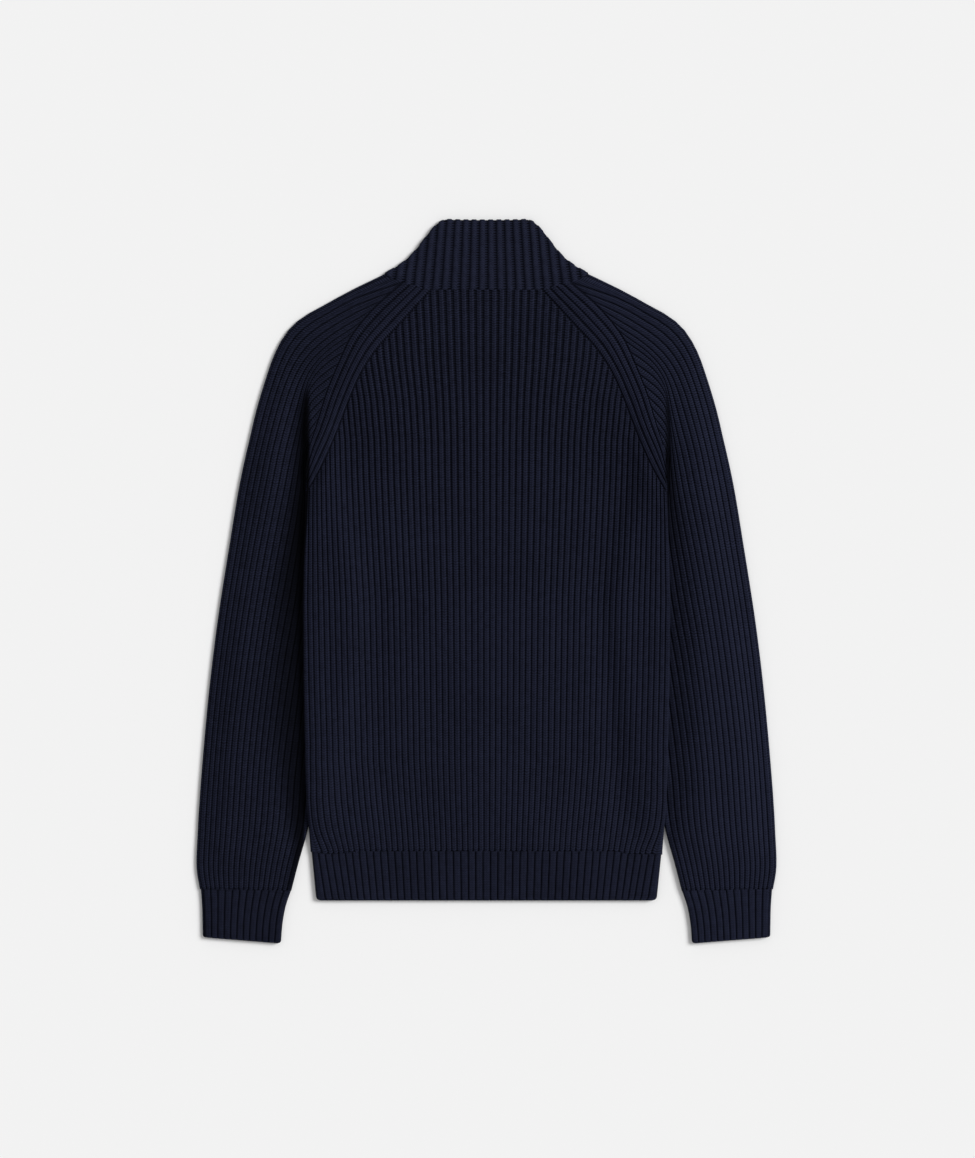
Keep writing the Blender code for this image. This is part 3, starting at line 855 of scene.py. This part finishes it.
def front_top(t):
    """Top edge of a front, from its neck end (t 0) out to the underarm (t 1)."""
    columns = len(FRONT_STOPS) - 1
    at = np.interp(t, FRONT_STOPS, np.arange(columns + 1))
    neck = between(FRONT_NECK_END, FRONT_RAGLAN_TOP, at / FRONT_NECK_COLUMNS)
    raglan = front_raglan((columns - at) / (columns - FRONT_NECK_COLUMNS))
    return np.where((at <= FRONT_NECK_COLUMNS)[:, None], neck, raglan)


def make_fronts(settings):
    ribs = BODY_RIBS // 2
    places = rib_positions(ribs, UNDER_RIB)
    t = places / ribs
    below = np.linspace(HEM_SEAM_Y - SEAM_LAP / 2, FRONTS_MEET[1], FRONT_ROWS_BELOW)
    y = np.repeat(below[:, None], len(t), 1)
    lower_xy = np.stack([mix(FRONTS_MEET[0], lookup(y, TORSO, "half_width"), t), y], -1)
    top = front_top(t) + SEAM_LAP
    rise = np.linspace(0.0, 1.0, FRONT_ROWS_ABOVE)[1:]
    upper_xy = between(lower_xy[-1], top, rise[:, None])
    xy = np.concatenate([lower_xy, upper_xy])
    raised = relief(places, SLEEVE_GROOVE)
    wall = under_wall(settings, raised)
    points = layer(xy, parted_lift(xy, -1), wall, -1, closing(from_side(xy)))
    step = np.linalg.norm(np.diff(xy, axis=0), axis=-1)
    length = np.vstack([np.zeros(len(t)), np.cumsum(step, axis=0)])
    lay_pair(settings, "front_panel", points, raised, unshaded, knit_uv(places, length))


# ---- Sleeves and cuffs ----


def crease_line(sections):
    """Where the two layers of a tube meet in its outer fold."""
    outer = edge_line(sections, "outer")
    return outer - outward_from(outer) * (FOLD_WALL + FOLD_RADIUS)


def tube_control(sections, places, ribs):
    """Points across each section of a tube, on a straight line from edge to edge."""
    inner, crease = edge_line(sections, "inner"), crease_line(sections)
    return between(inner[:, None], crease[:, None], places / ribs)


def sleeve_control(places):
    """Points across each section of the upper layer of a sleeve, where its ribs are guided."""
    guides = [edge_line(SLEEVE, name) for name in SLEEVE_GUIDES]
    guides[-1] = crease_line(SLEEVE)
    spread = through(list(SLEEVE_GUIDES.values()), np.array(guides), places)
    return spread.transpose(1, 0, 2)


def tube_rows(top_control, under_control, row_step):
    """The section and the distance of each row down a tube, and the places of its two layers."""
    step = np.linalg.norm(np.diff(top_control, axis=0), axis=-1).mean(axis=1)
    stops = np.concatenate([[0.0], np.cumsum(step)])
    distances = rows_between(stops[-1], row_step)
    section = np.interp(distances, stops, np.arange(len(stops)))[:, None]
    laid = [through(stops, control, distances) for control in (top_control, under_control)]
    return section, distances, laid


def tube(settings, laid, places, heights, ribs):
    """Points of a laid tube: its under layer from the seam out, round the fold, and back.

    Each argument holds the upper layer and the one under it. The rows run down the tube. The
    last two results are the places across the tube, counted on round the fold, and the ribs.
    """
    (upper_xy, under_xy), (up, down) = laid, places
    ribs = [np.broadcast_to(rib, xy.shape[:2]) for rib, xy in zip(ribs, laid)]
    top_wall, low_wall = upper_wall(settings, ribs[0]), under_wall(settings, ribs[1])
    upper_edge = np.linalg.norm(upper_xy - upper_xy[:, -1:], axis=-1)
    under_edge = np.linalg.norm(under_xy - under_xy[:, :1], axis=-1)
    top_in, top_out = layer(upper_xy, heights[0], top_wall, 1, closing(upper_edge))
    low_in, low_out = layer(under_xy, heights[1], low_wall, -1, closing(under_edge))
    crease = upper_xy[:, 0]
    turn = np.pi * np.array(FOLD_STOPS)
    way = at_height(outward_from(crease)[:, None] * np.sin(turn)[None, :, None], -np.cos(turn))
    middle = at_height(np.repeat(crease[:, None], len(turn), 1), LAYER_MIDDLE)
    hump = np.sin(turn) ** FOLD_FULLNESS_POWER
    ends = mix(low_wall[:, -1:], top_wall[:, :1], np.array(FOLD_STOPS)[None, :])
    wall = mix(ends, FOLD_WALL, hump[None, :])
    fold_in = middle + way * FOLD_RADIUS
    fold_out = middle + way * (FOLD_RADIUS + wall[..., None])
    across = np.concatenate([down, up[0] + np.array(FOLD_STOPS), up + 1.0 - 2.0 * (up - up[0])])
    return (
        np.concatenate([low_in, fold_in, top_in], axis=1),
        np.concatenate([low_out, fold_out, top_out], axis=1),
        across,
        np.concatenate([ribs[1], np.repeat(hump[None, :], len(crease), 0), ribs[0]], axis=1),
    )


def side_shade(x, side):
    """Painted light and shade: the lamp stands at the right, and the left sleeve is painted darker than
    the right.
    """
    if side == "left":
        return np.full(x.shape, LEFT_SIDE_SHADE)
    at_fold = smooth((x - FOLD_LIGHT_FROM_X) / FOLD_LIGHT_WIDTH)
    return -RIGHT_SIDE_LIGHT - RIGHT_FOLD_LIGHT * at_fold


def on_raglan(place):
    """How far down the raglan a rib of the sleeve starts, as a share of its length."""
    w = np.minimum(place / SLEEVE_RIBS_ON_RAGLAN, 1.0)
    return 1.0 - w + RIBS_CROWD_AT_UNDERARM * w * (1.0 - w)


def sleeve_top_rows(up, down):
    """First row of each layer of a sleeve, along its raglan and its neck edge."""
    raglan = along(band_line("sleeve"), on_raglan(up))
    on_neck = np.clip(up - SLEEVE_RIBS_ON_RAGLAN, 0.0, 1.0)
    neck = between(band_line("sleeve")[0], SLEEVE_TOP, on_neck) + (0.0, SEAM_LAP)
    top_row = np.where((up <= SLEEVE_RIBS_ON_RAGLAN)[:, None], raglan, neck)
    w = down / SLEEVE_RIBS
    under_neck = np.clip((w - UNDER_RAGLAN_SHARE) / (1.0 - UNDER_RAGLAN_SHARE), 0, 1)
    under_row = np.where(
        (w < UNDER_RAGLAN_SHARE)[:, None],
        front_raglan(w / UNDER_RAGLAN_SHARE) - SEAM_LAP,
        between(FRONT_RAGLAN_TOP, SLEEVE_TOP, under_neck) + (0.0, SEAM_LAP),
    )
    return top_row, under_row


def sleeve_heights(laid, up, section, distances):
    """Heights of both layers of a sleeve: lifted at the armhole, and full along its middle."""
    top_xy, under_xy = laid
    fade = 1.0 - smooth(section / LIFTED_SLEEVE_ROWS)
    lifted_rows = mix(LIFTED_UNDERARM_ROWS, LIFTED_SLEEVE_ROWS, smooth(up / LIFTED_FROM_PLACE))
    let_down = 1.0 - smooth((section - lifted_rows) / LET_DOWN_ROWS)
    from_body = smooth((top_xy[..., 0] - SLEEVE_FULL_FROM_X) / SLEEVE_BODY_WIDTH)
    from_crease = np.linalg.norm(top_xy - top_xy[:, :1], axis=-1)
    from_fold = smooth(from_crease / SLEEVE_FOLD_WIDTH)
    from_cuff = distances[-1] - distances
    from_ends = smooth(distances / SLEEVE_TOP_LENGTH) * smooth(from_cuff / SLEEVE_CUFF_LENGTH)
    full = SLEEVE_FULLNESS * from_body * from_fold * from_ends[:, None]
    return parted_lift(top_xy, 1) * let_down + full, parted_lift(under_xy, -1) * fade


def sleeve_band(settings, up):
    """Points, ribs and UV of the ribs along the raglan; its UV also holds the next row."""
    band = rib_positions(BAND_RIBS_EACH_SIDE, ROUND_RIB)[1:][::-1]
    xy, raised, length = raglan_band("sleeve", on_raglan(up), band)
    points = layer(xy, parted_lift(xy, 1), upper_wall(settings, raised), 1)
    return points, raised, knit_uv(np.append(band, 0.0)[:, None], length)


def make_sleeves(settings):
    up = rib_positions(SLEEVE_RIBS, ROUND_RIB)[::-1]
    down = rib_positions(SLEEVE_RIBS, UNDER_RIB)
    top_row, under_row = sleeve_top_rows(up, down)
    section, distances, laid = tube_rows(
        np.concatenate([top_row[None], sleeve_control(up)]),
        np.concatenate([under_row[None], tube_control(SLEEVE, down, SLEEVE_RIBS)]),
        ROW_STEP,
    )
    narrow = rib_end(distances[-1] - distances)[:, None]
    from_band = smooth(distances / POINTED_END)[:, None]
    pointed = np.where(up > SLEEVE_RIBS_ON_RAGLAN, 1.0, from_band)
    ribs = [relief(places, SLEEVE_GROOVE, narrow=narrow) for places in (up, down)]
    ribs[0] = ribs[0] * pointed
    heights = sleeve_heights(laid, up, section, distances)
    inner, outer, across, field_rib = tube(settings, laid, (up, down), heights, ribs)
    field_uv = knit_uv(across, column_lengths(inner[..., :2]))

    band, band_rib, band_uv = sleeve_band(settings, up)
    rows, first = len(band_rib), inner.shape[1] - len(up)
    band = [np.pad(layer_points, ((0, 0), (first, 0), (0, 0))) for layer_points in band]
    band_rib = np.pad(band_rib, ((0, 0), (first, 0)))
    band_uv = np.pad(band_uv, ((0, 0), (first, 0), (0, 0)))
    points = [np.concatenate(grids) for grids in zip(band, (inner, outer))]
    kept = np.ones((rows + len(distances) - 1, inner.shape[1] - 1), bool)
    kept[:rows] = False
    kept[:rows, first:] = (up[:-1] <= SLEEVE_RIBS_ON_RAGLAN)[None, :]

    # Painted shadow of the body's edge, with the painted side light and shade.
    def shade_of(side):
        lit = 1.0 - body_shade(points[0], side)
        return 1.0 - lit * (1.0 - side_shade(points[0][..., 0], side))

    lay_pair(
        settings,
        "sleeve_tube",
        points,
        np.concatenate([band_rib, field_rib]),
        shade_of,
        np.concatenate([band_uv, field_uv[1:]]),
        np.concatenate([band_uv[:-1], field_uv]),
        rows,
        kept,
    )


def round_corners(points, corner):
    """Draws both side edges in by this much in each row."""
    x = points[..., 0]
    low, high = x.min(axis=1, keepdims=True), x.max(axis=1, keepdims=True)
    x -= corner[:, None] * ((2.0 * x - low - high) / (high - low)) ** CORNER_POWER


def make_cuffs(settings):
    down = rib_positions(CUFF_RIBS, FLAT_RIB)
    places = (down[::-1], down)
    controls = (tube_control(CUFF, place, CUFF_RIBS) for place in places)
    _, distances, laid = tube_rows(*controls, BAND_ROW_STEP)
    ribs = [relief(place, FLAT_GROOVE, FLAT_WALL) for place in places]
    inner, outer, across, rib = tube(settings, laid, places, (0.0, 0.0), ribs)
    from_end = distances[-1] - distances
    for points in (inner, outer):
        round_corners(points, CUFF_CORNER * (1.0 - rounded_end(from_end, CUFF_CORNER)))

    # Painted side light and shade.
    def shade_of(side):
        return side_shade(inner[..., 0], side)

    uv = knit_uv(across, column_lengths(inner[..., :2]))
    lay_pair(settings, "cuff_band", (inner, outer), rib, shade_of, uv)


# ---- Hem ----


def hem_points(places, half_ribs, distances, back):
    """Places of the hem behind or in front, and their distances from its side edge."""
    share = (distances / distances[-1])[:, None]
    half_width = mix(HEM[0].half_width, HEM[1].half_width, share)
    t = places / half_ribs
    seam = HEM[0].y + SEAM_LAP / 2
    if back:
        t = mix(t**HEM_RIB_POWER, t, HEM_RIB_SPREAD)
        seam = seam - seam_dip(HEM[0].half_width * t)
    y = mix(seam, HEM[1].y, share)
    corner = HEM_CORNER * (1.0 - rounded_end(y - HEM[1].y, HEM_CORNER))
    x = half_width * t - corner * t**CORNER_POWER
    if back:
        x = x - HEM_RIB_LEAN * share * t**HEM_RIB_POWER * (1.0 - t**HEM_RIB_EDGE_POWER)
    else:
        x = np.maximum(x, FRONT_GAP)
    return np.stack(np.broadcast_arrays(x, y), axis=-1), half_width - np.abs(x)


def make_hem(settings):
    distances = rows_between(HEM_SEAM_Y - HEM_BOTTOM_Y, BAND_ROW_STEP)
    places = rib_positions(HEM_RIBS, FLAT_RIB)
    xy, edge = hem_points(places - HEM_RIBS / 2, HEM_RIBS / 2, distances, True)
    rib = relief(places, FLAT_GROOVE, FLAT_WALL)
    points = layer(xy, 0.0, upper_wall(settings, rib), 1, closing(edge))
    lay_piece(settings, "hem_band_back", points, rib, 0.0, knit_uv(places, -xy[..., 1]))

    places = rib_positions(HEM_RIBS // 2, FLAT_RIB)
    xy, edge = hem_points(places, HEM_RIBS // 2, distances, False)
    rib = relief(places, FLAT_GROOVE, FLAT_WALL)
    points = layer(xy, 0.0, under_wall(settings, rib), -1, closing(edge))
    lay_pair(settings, "hem_band", points, rib, unshaded, knit_uv(places, -xy[..., 1]))


# ---- Collar ----


def collar_places(places, shares):
    """Places of the collar behind: its ribs lean in to the top, and end on its outline."""
    neck_x, neck_y = np.array(NECK_LINE).T
    outline_x, outline_y = np.array(COLLAR_OUTLINE).T
    base_x = np.minimum(np.abs(places) * COLLAR_PITCH_AT_NECK, SHOULDER_POINT[0])
    base_y = np.interp(base_x, neck_x, neck_y) - SEAM_LAP

    def rib_line(share):
        narrowed = mix(1.0, COLLAR_PITCH_AT_TOP / COLLAR_PITCH_AT_NECK, share)
        return np.stack([base_x * narrowed, mix(base_y, COLLAR_TOP_Y + 1.0, share)], -1)

    def inside(share):
        xy = rib_line(share)
        return xy[..., 1] < np.interp(xy[..., 0], outline_x, outline_y)

    reach = last_true(inside, np.zeros(places.shape), np.ones(places.shape))
    return np.stack([rib_line(reach * share) for share in shares])


def collar_back(settings, distances):
    places = rib_positions(COLLAR_RIBS, COLLAR_RIB)
    from_middle = places - COLLAR_RIBS / 2
    shares = distances / distances[-1]
    xy = collar_places(from_middle, shares)
    edge = away_from(COLLAR_OUTLINE, xy)
    rib = relief(places, COLLAR_GROOVE, COLLAR_WALL)
    near_top = smooth((shares[:, None] - COLLAR_SCALLOP_FROM_SHARE) / COLLAR_SCALLOP_GROWS_IN)
    xy[..., 0] *= np.where(from_middle < 0.0, -1.0, 1.0)
    xy[..., 1] -= COLLAR_SCALLOP * (1.0 - rib) * near_top
    rise = smooth(shares[:, None] / COLLAR_FULL_AT_SHARE)
    full = COLLAR_FULLNESS * rise * smooth(edge / COLLAR_FULL_FROM_EDGE)
    points = layer(xy, full, upper_wall(settings, rib), 1, closing(edge))
    lay_piece(settings, "collar_band_back", points, rib, 0.0, knit_uv(places, xy[..., 1]))


def collar_ends(settings, distances):
    places = rib_positions(COLLAR_END_RIBS, COLLAR_RIB)
    across = places / COLLAR_END_RIBS
    shares = distances / distances[-1]
    base = between(SHOULDER_POINT, FRONT_NECK_END, across)
    base += (SEAM_LAP, -SEAM_LAP)
    top = between(COLLAR_FOLD_TOP, COLLAR_END_TOP, across)
    xy = between(base, top, shares[:, None])
    fold = along([base[0], *COLLAR_FOLD, top[0]], shares)
    xy += (fold - xy[:, 0])[:, None] * ((1.0 - across) ** 2)[None, :, None]
    edge = away_from([*fold, COLLAR_END_TOP], xy)
    rib = relief(places, COLLAR_GROOVE, COLLAR_WALL)
    points = layer(xy, 0.0, under_wall(settings, rib), -1, closing(edge))
    uv = knit_uv(places, column_lengths(xy))
    lay_pair(settings, "collar_band", points, rib, unshaded, uv)


def make_collar(settings):
    distances = rows_between(COLLAR_TOP_Y - NECK_Y, COLLAR_ROW_STEP)
    collar_back(settings, distances)
    collar_ends(settings, distances)


# ---- Materials ----

# Columns of stitches on a rib, depth and contrast of the stitches, light in the grooves and on all.
# Painted shade: the contrast darkens the gaps between the stitch legs, a low gutter the grooves.
Knit = namedtuple("Knit", "wales legs contrast gutter light")
ROUND_KNIT = Knit(wales=1, legs=0.95, contrast=0.95, gutter=0.42, light=1.0)
FLAT_KNIT = Knit(wales=3, legs=0.6, contrast=0.75, gutter=0.25, light=0.74)
COLLAR_KNIT = Knit(wales=2, legs=0.8, contrast=0.7, gutter=1.0, light=0.98)
WOOLS = {
    "back_wool": ROUND_KNIT,
    "front_wool": ROUND_KNIT,
    "sleeve_wool": ROUND_KNIT,
    "cuff_wool": FLAT_KNIT,
    "hem_wool": FLAT_KNIT,
    "collar_wool": COLLAR_KNIT,
}

# Scale and detail of each noise: fibres, patches of a few stitches, wide clouds, and the wander
# of the rows, in stitches.
FIBRE_NOISE = (850.0, 4.0)
PATCH_NOISE = (170.0, 2.0)
CLOUD_NOISE = (9.0, 2.0)
WANDER_NOISE = (60.0, 2.0)
NOISE_ROUGHNESS = 0.6
WANDER = 1.6

# How far up a rib its stitches begin and are full, how far out from the middle of a stitch its
# legs do, and how many stitches the legs slant down.
RIB_BEGINS = (0.12, 0.72)
LEG_BEGINS = (0.05, 0.42)
LEG_SLANT = 0.6
BAR_LIGHT = 1.5
BUMP_STRENGTH = 0.75
SHEEN_TINT = (0.45, 0.5, 0.75, 1.0)


class Wire:
    """A socket that can be worked with as a number: each step adds a Math node."""

    def __init__(self, shading, socket):
        self.shading = shading
        self.socket = socket

    def math(self, operation, *others):
        inputs = dict(enumerate([self, *others]))
        return self.shading.node("ShaderNodeMath", {"operation": operation}, inputs)

    def __add__(self, other):
        return self.math("ADD", other)

    __radd__ = __add__

    def __mul__(self, other):
        return self.math("MULTIPLY", other)

    __rmul__ = __mul__

    def __sub__(self, other):
        return self.math("SUBTRACT", other)

    def __rsub__(self, other):
        return self * -1.0 + other

    def __abs__(self):
        return self.math("ABSOLUTE")

    def fraction(self):
        return self.math("FRACT")

    def wave(self):
        """1 at each whole number and 0 halfway between."""
        return (self * math.tau).math("COSINE") * 0.5 + 0.5

    def ramp(self, start, end):
        """Soft ramp from 0 at start to 1 at end."""
        settings = {"interpolation_type": "SMOOTHSTEP"}
        inputs = {"Value": self, "From Min": start, "From Max": end}
        return self.shading.node("ShaderNodeMapRange", settings, inputs)


class Shading:
    """Nodes of one material."""

    def __init__(self, name):
        self.material = bpy.data.materials.new(name)
        self.material.use_nodes = True
        self.tree = self.material.node_tree
        self.shader = self.tree.nodes["Principled BSDF"]

    def node(self, kind, settings=None, inputs=None, output=0):
        """Adds a node, sets it up, feeds its sockets and returns one of its outputs."""
        made = self.tree.nodes.new(kind)
        for key, value in (settings or {}).items():
            setattr(made, key, value)
        for key, value in (inputs or {}).items():
            self.join(made.inputs[key], value)
        return Wire(self, made.outputs[output])

    def join(self, socket, value):
        if isinstance(value, Wire):
            self.tree.links.new(value.socket, socket)
        else:
            socket.default_value = value

    def blend(self, factor, first, second):
        """Colour between two colours."""
        inputs = {0: factor, 6: first, 7: second}
        return self.node("ShaderNodeMix", {"data_type": "RGBA"}, inputs, 2)

    def feed(self, **sockets):
        for key, value in sockets.items():
            self.join(self.shader.inputs[key.replace("_", " ")], value)


def knit_material(name, settings):
    """Knitted yarn: rows of V-shaped stitches on the ribs, small bars in the grooves."""
    if name in bpy.data.materials:
        return bpy.data.materials[name]
    knit = WOOLS[name]
    shading = Shading(name)
    uv = shading.node("ShaderNodeUVMap", {"uv_map": "ribs"})
    across = shading.node("ShaderNodeSeparateXYZ", None, {0: uv}, 0)
    upward = shading.node("ShaderNodeSeparateXYZ", None, {0: uv}, 1)
    place = shading.node("ShaderNodeTexCoord", None, None, "Object")

    def noise(scale, detail):
        inputs = {"Vector": place, "Scale": scale, "Detail": detail}
        inputs["Roughness"] = NOISE_ROUGHNESS
        return shading.node("ShaderNodeTexNoise", None, inputs)

    def mark(name):
        return shading.node("ShaderNodeAttribute", {"attribute_name": name}, None, "Fac")

    fibre = noise(*FIBRE_NOISE)
    cloud = noise(*CLOUD_NOISE)
    patch = noise(*PATCH_NOISE)
    upward = upward + noise(*WANDER_NOISE) * WANDER
    rib = across.fraction()
    on_rib = mark("rib").ramp(*RIB_BEGINS)
    wale = (rib * knit.wales).fraction() if knit.wales > 1 else rib
    from_middle = abs(wale - 0.5) * 2.0
    leg = (upward - from_middle * LEG_SLANT).wave()
    spine = from_middle.ramp(*LEG_BEGINS)
    stitch = (leg * 1.1 + 0.2) * (spine * 0.4 + 0.6)
    bar = (upward + 0.5).wave()
    height = on_rib * (stitch * knit.legs + 0.5) + (1.0 - on_rib) * bar * 0.5 + fibre * 0.35
    # Painted shade between the stitch legs and in the grooves.
    on_crest = on_rib * (stitch * knit.contrast + (1.0 - knit.contrast))
    in_groove = (1.0 - on_rib) * bar * bar * BAR_LIGHT * knit.gutter
    mottle = (fibre * 2.2 - 0.1) * (patch * 1.2 + 0.4) * (cloud * 0.6 + 0.7)
    # The shade mark paints shadow into the yarn colour, and light where it is below 0.
    tone = (on_crest + in_groove) * mottle * knit.light * (1.0 - mark("shade"))
    dark, light = (*settings.shade_colour, 1.0), (*settings.yarn_colour, 1.0)
    bump_inputs = {"Strength": BUMP_STRENGTH, "Distance": settings.stitch_relief}
    bump_inputs["Height"] = height
    shading.feed(
        Base_Color=shading.blend(tone, dark, light),
        Roughness=fibre * 0.1 + 0.86,
        Normal=shading.node("ShaderNodeBump", None, bump_inputs),
        Metallic=0.0,
        Specular_IOR_Level=0.04,
        Sheen_Weight=0.02,
        Sheen_Roughness=0.5,
        Sheen_Tint=SHEEN_TINT,
    )
    return shading.material


# ---- Stage ----


def make_floor(settings):
    bm = bmesh.new()
    bmesh.ops.create_grid(bm, x_segments=1, y_segments=1, size=FLOOR_HALF_SIZE)
    mesh = bpy.data.meshes.new("floor")
    bm.to_mesh(mesh)
    bm.free()
    floor = bpy.data.objects.new("floor", mesh)
    bpy.context.scene.collection.objects.link(floor)
    shading = Shading("pale_floor")
    shading.feed(
        Base_Color=(*settings.floor_colour, 1.0), Roughness=0.95, Specular_IOR_Level=0.0
    )
    mesh.materials.append(shading.material)


def make_light(settings):
    world = bpy.data.worlds.new("studio")
    world.use_nodes = True
    background = world.node_tree.nodes["Background"]
    background.inputs["Color"].default_value = (1.0, 1.0, 1.0, 1.0)
    background.inputs["Strength"].default_value = settings.fill_light
    bpy.context.scene.world = world
    softbox = bpy.data.lights.new("softbox", "SUN")
    softbox.angle = LAMP_ANGLE
    softbox.energy = settings.softbox_power
    lamp = bpy.data.objects.new("softbox", softbox)
    lamp.location = LAMP_PLACE
    lamp.rotation_mode = "QUATERNION"
    lamp.rotation_quaternion = (-lamp.location).to_track_quat("-Z", "Y")
    bpy.context.scene.collection.objects.link(lamp)


def make_camera():
    camera = bpy.data.cameras.new("camera")
    camera.sensor_fit = "VERTICAL"
    camera.sensor_height = SENSOR_HEIGHT
    view_height = PHOTO_SIZE[1] * MM_PER_PIXEL * MM
    camera.lens = CAMERA_HEIGHT * SENSOR_HEIGHT / view_height
    camera.clip_end = CAMERA_REACH
    eye = bpy.data.objects.new("camera", camera)
    eye.location = (
        (PHOTO_SIZE[0] / 2 - CENTRE_PIXEL[0]) * MM_PER_PIXEL * MM,
        (CENTRE_PIXEL[1] - PHOTO_SIZE[1] / 2) * MM_PER_PIXEL * MM,
        CAMERA_HEIGHT,
    )
    bpy.context.scene.collection.objects.link(eye)
    bpy.context.scene.camera = eye


def make_stage(settings):
    make_floor(settings)
    make_light(settings)
    make_camera()
    bpy.context.scene.view_settings.view_transform = "Standard"


# ---- Add-on ----


def length_setting(name, description, default, low):
    return FloatProperty(
        name=name, description=description, default=default, min=low, unit="LENGTH"
    )


def strength_setting(name, description, default):
    return FloatProperty(name=name, description=description, default=default, min=0.0)


def colour_setting(name, description, default):
    return FloatVectorProperty(
        name=name,
        description=description,
        default=default,
        subtype="COLOR",
        size=3,
        min=0.0,
        max=1.0,
    )


class CardiganSettings(bpy.types.PropertyGroup):
    """Sizes and colours of the cardigan that a user may change."""

    crest_wall: length_setting("Rib crest", "Thickness of the cloth on the crest of a rib", 0.0034, 0.001)
    groove_wall: length_setting("Rib groove", "Thickness of the cloth in a groove", 0.0018, 0.0005)
    under_groove_wall: length_setting(
        "Underside groove",
        "Thickness of the cloth in a groove of the side that rests on the floor",
        0.0009,
        0.0004,
    )
    stitch_relief: length_setting(
        "Stitch relief", "Height of the stitches above the gaps between them", 0.0004, 0.0
    )
    yarn_colour: colour_setting(
        "Yarn", "Colour of the yarn in full light", (0.0150, 0.0176, 0.0363)
    )
    # Painted shade: the colour of full painted shadow, and of the painted shade in gaps and grooves.
    shade_colour: colour_setting(
        "Yarn in gaps", "Colour between the stitches", (0.0005, 0.0006, 0.0014)
    )
    floor_colour: colour_setting(
        "Floor", "Colour of the surface that the cardigan lies on", (0.889, 0.889, 0.889)
    )
    fill_light: strength_setting("Fill light", "Strength of the even light from all round", 0.45)
    softbox_power: strength_setting("Softbox", "Strength of the large lamp at the right", 2.7)


class CardiganOperator:
    """What the operators share."""

    bl_options = {"REGISTER", "UNDO"}

    def execute(self, context):
        self.make(context.scene.cardigan)
        return {"FINISHED"}


class CARDIGAN_OT_stage(CardiganOperator, bpy.types.Operator):
    """Lay the floor, and set up the light and the camera"""

    bl_idname = "cardigan.stage"
    bl_label = "Stage"
    make = staticmethod(make_stage)


class CARDIGAN_OT_fronts(CardiganOperator, bpy.types.Operator):
    """Knit the two fronts that lie underneath"""

    bl_idname = "cardigan.fronts"
    bl_label = "Fronts"
    make = staticmethod(make_fronts)


class CARDIGAN_OT_sleeves(CardiganOperator, bpy.types.Operator):
    """Knit the two raglan sleeves as laid tubes"""

    bl_idname = "cardigan.sleeves"
    bl_label = "Sleeves"
    make = staticmethod(make_sleeves)


class CARDIGAN_OT_back(CardiganOperator, bpy.types.Operator):
    """Knit the ribbed back with its ribs along the raglan"""

    bl_idname = "cardigan.back"
    bl_label = "Back"
    make = staticmethod(make_back)


class CARDIGAN_OT_cuffs(CardiganOperator, bpy.types.Operator):
    """Knit the two cuffs"""

    bl_idname = "cardigan.cuffs"
    bl_label = "Cuffs"
    make = staticmethod(make_cuffs)


class CARDIGAN_OT_hem(CardiganOperator, bpy.types.Operator):
    """Knit the hem band, behind and in front"""

    bl_idname = "cardigan.hem"
    bl_label = "Hem"
    make = staticmethod(make_hem)


class CARDIGAN_OT_collar(CardiganOperator, bpy.types.Operator):
    """Knit the stand collar and its two turned ends"""

    bl_idname = "cardigan.collar"
    bl_label = "Collar"
    make = staticmethod(make_collar)


OPERATORS = (
    CARDIGAN_OT_stage,
    CARDIGAN_OT_fronts,
    CARDIGAN_OT_sleeves,
    CARDIGAN_OT_back,
    CARDIGAN_OT_cuffs,
    CARDIGAN_OT_hem,
    CARDIGAN_OT_collar,
)


class CARDIGAN_PT_panel(bpy.types.Panel):
    """The pieces of the cardigan"""

    bl_idname = "CARDIGAN_PT_panel"
    bl_label = "Ribbed Cardigan"
    bl_space_type = "VIEW_3D"
    bl_region_type = "UI"
    bl_category = "Cardigan"

    def draw(self, context):
        for name in CardiganSettings.__annotations__:
            self.layout.prop(context.scene.cardigan, name)
        for operator in OPERATORS:
            self.layout.operator(operator.bl_idname)


CLASSES = (CardiganSettings, *OPERATORS, CARDIGAN_PT_panel)


def register():
    for cls in CLASSES:
        bpy.utils.register_class(cls)
    bpy.types.Scene.cardigan = PointerProperty(type=CardiganSettings)


def unregister():
    del bpy.types.Scene.cardigan
    for cls in reversed(CLASSES):
        bpy.utils.unregister_class(cls)


def main():
    register()
    for operator in OPERATORS:
        getattr(bpy.ops.cardigan, operator.bl_idname.split(".")[1])()


if __name__ == "__main__":
    main()
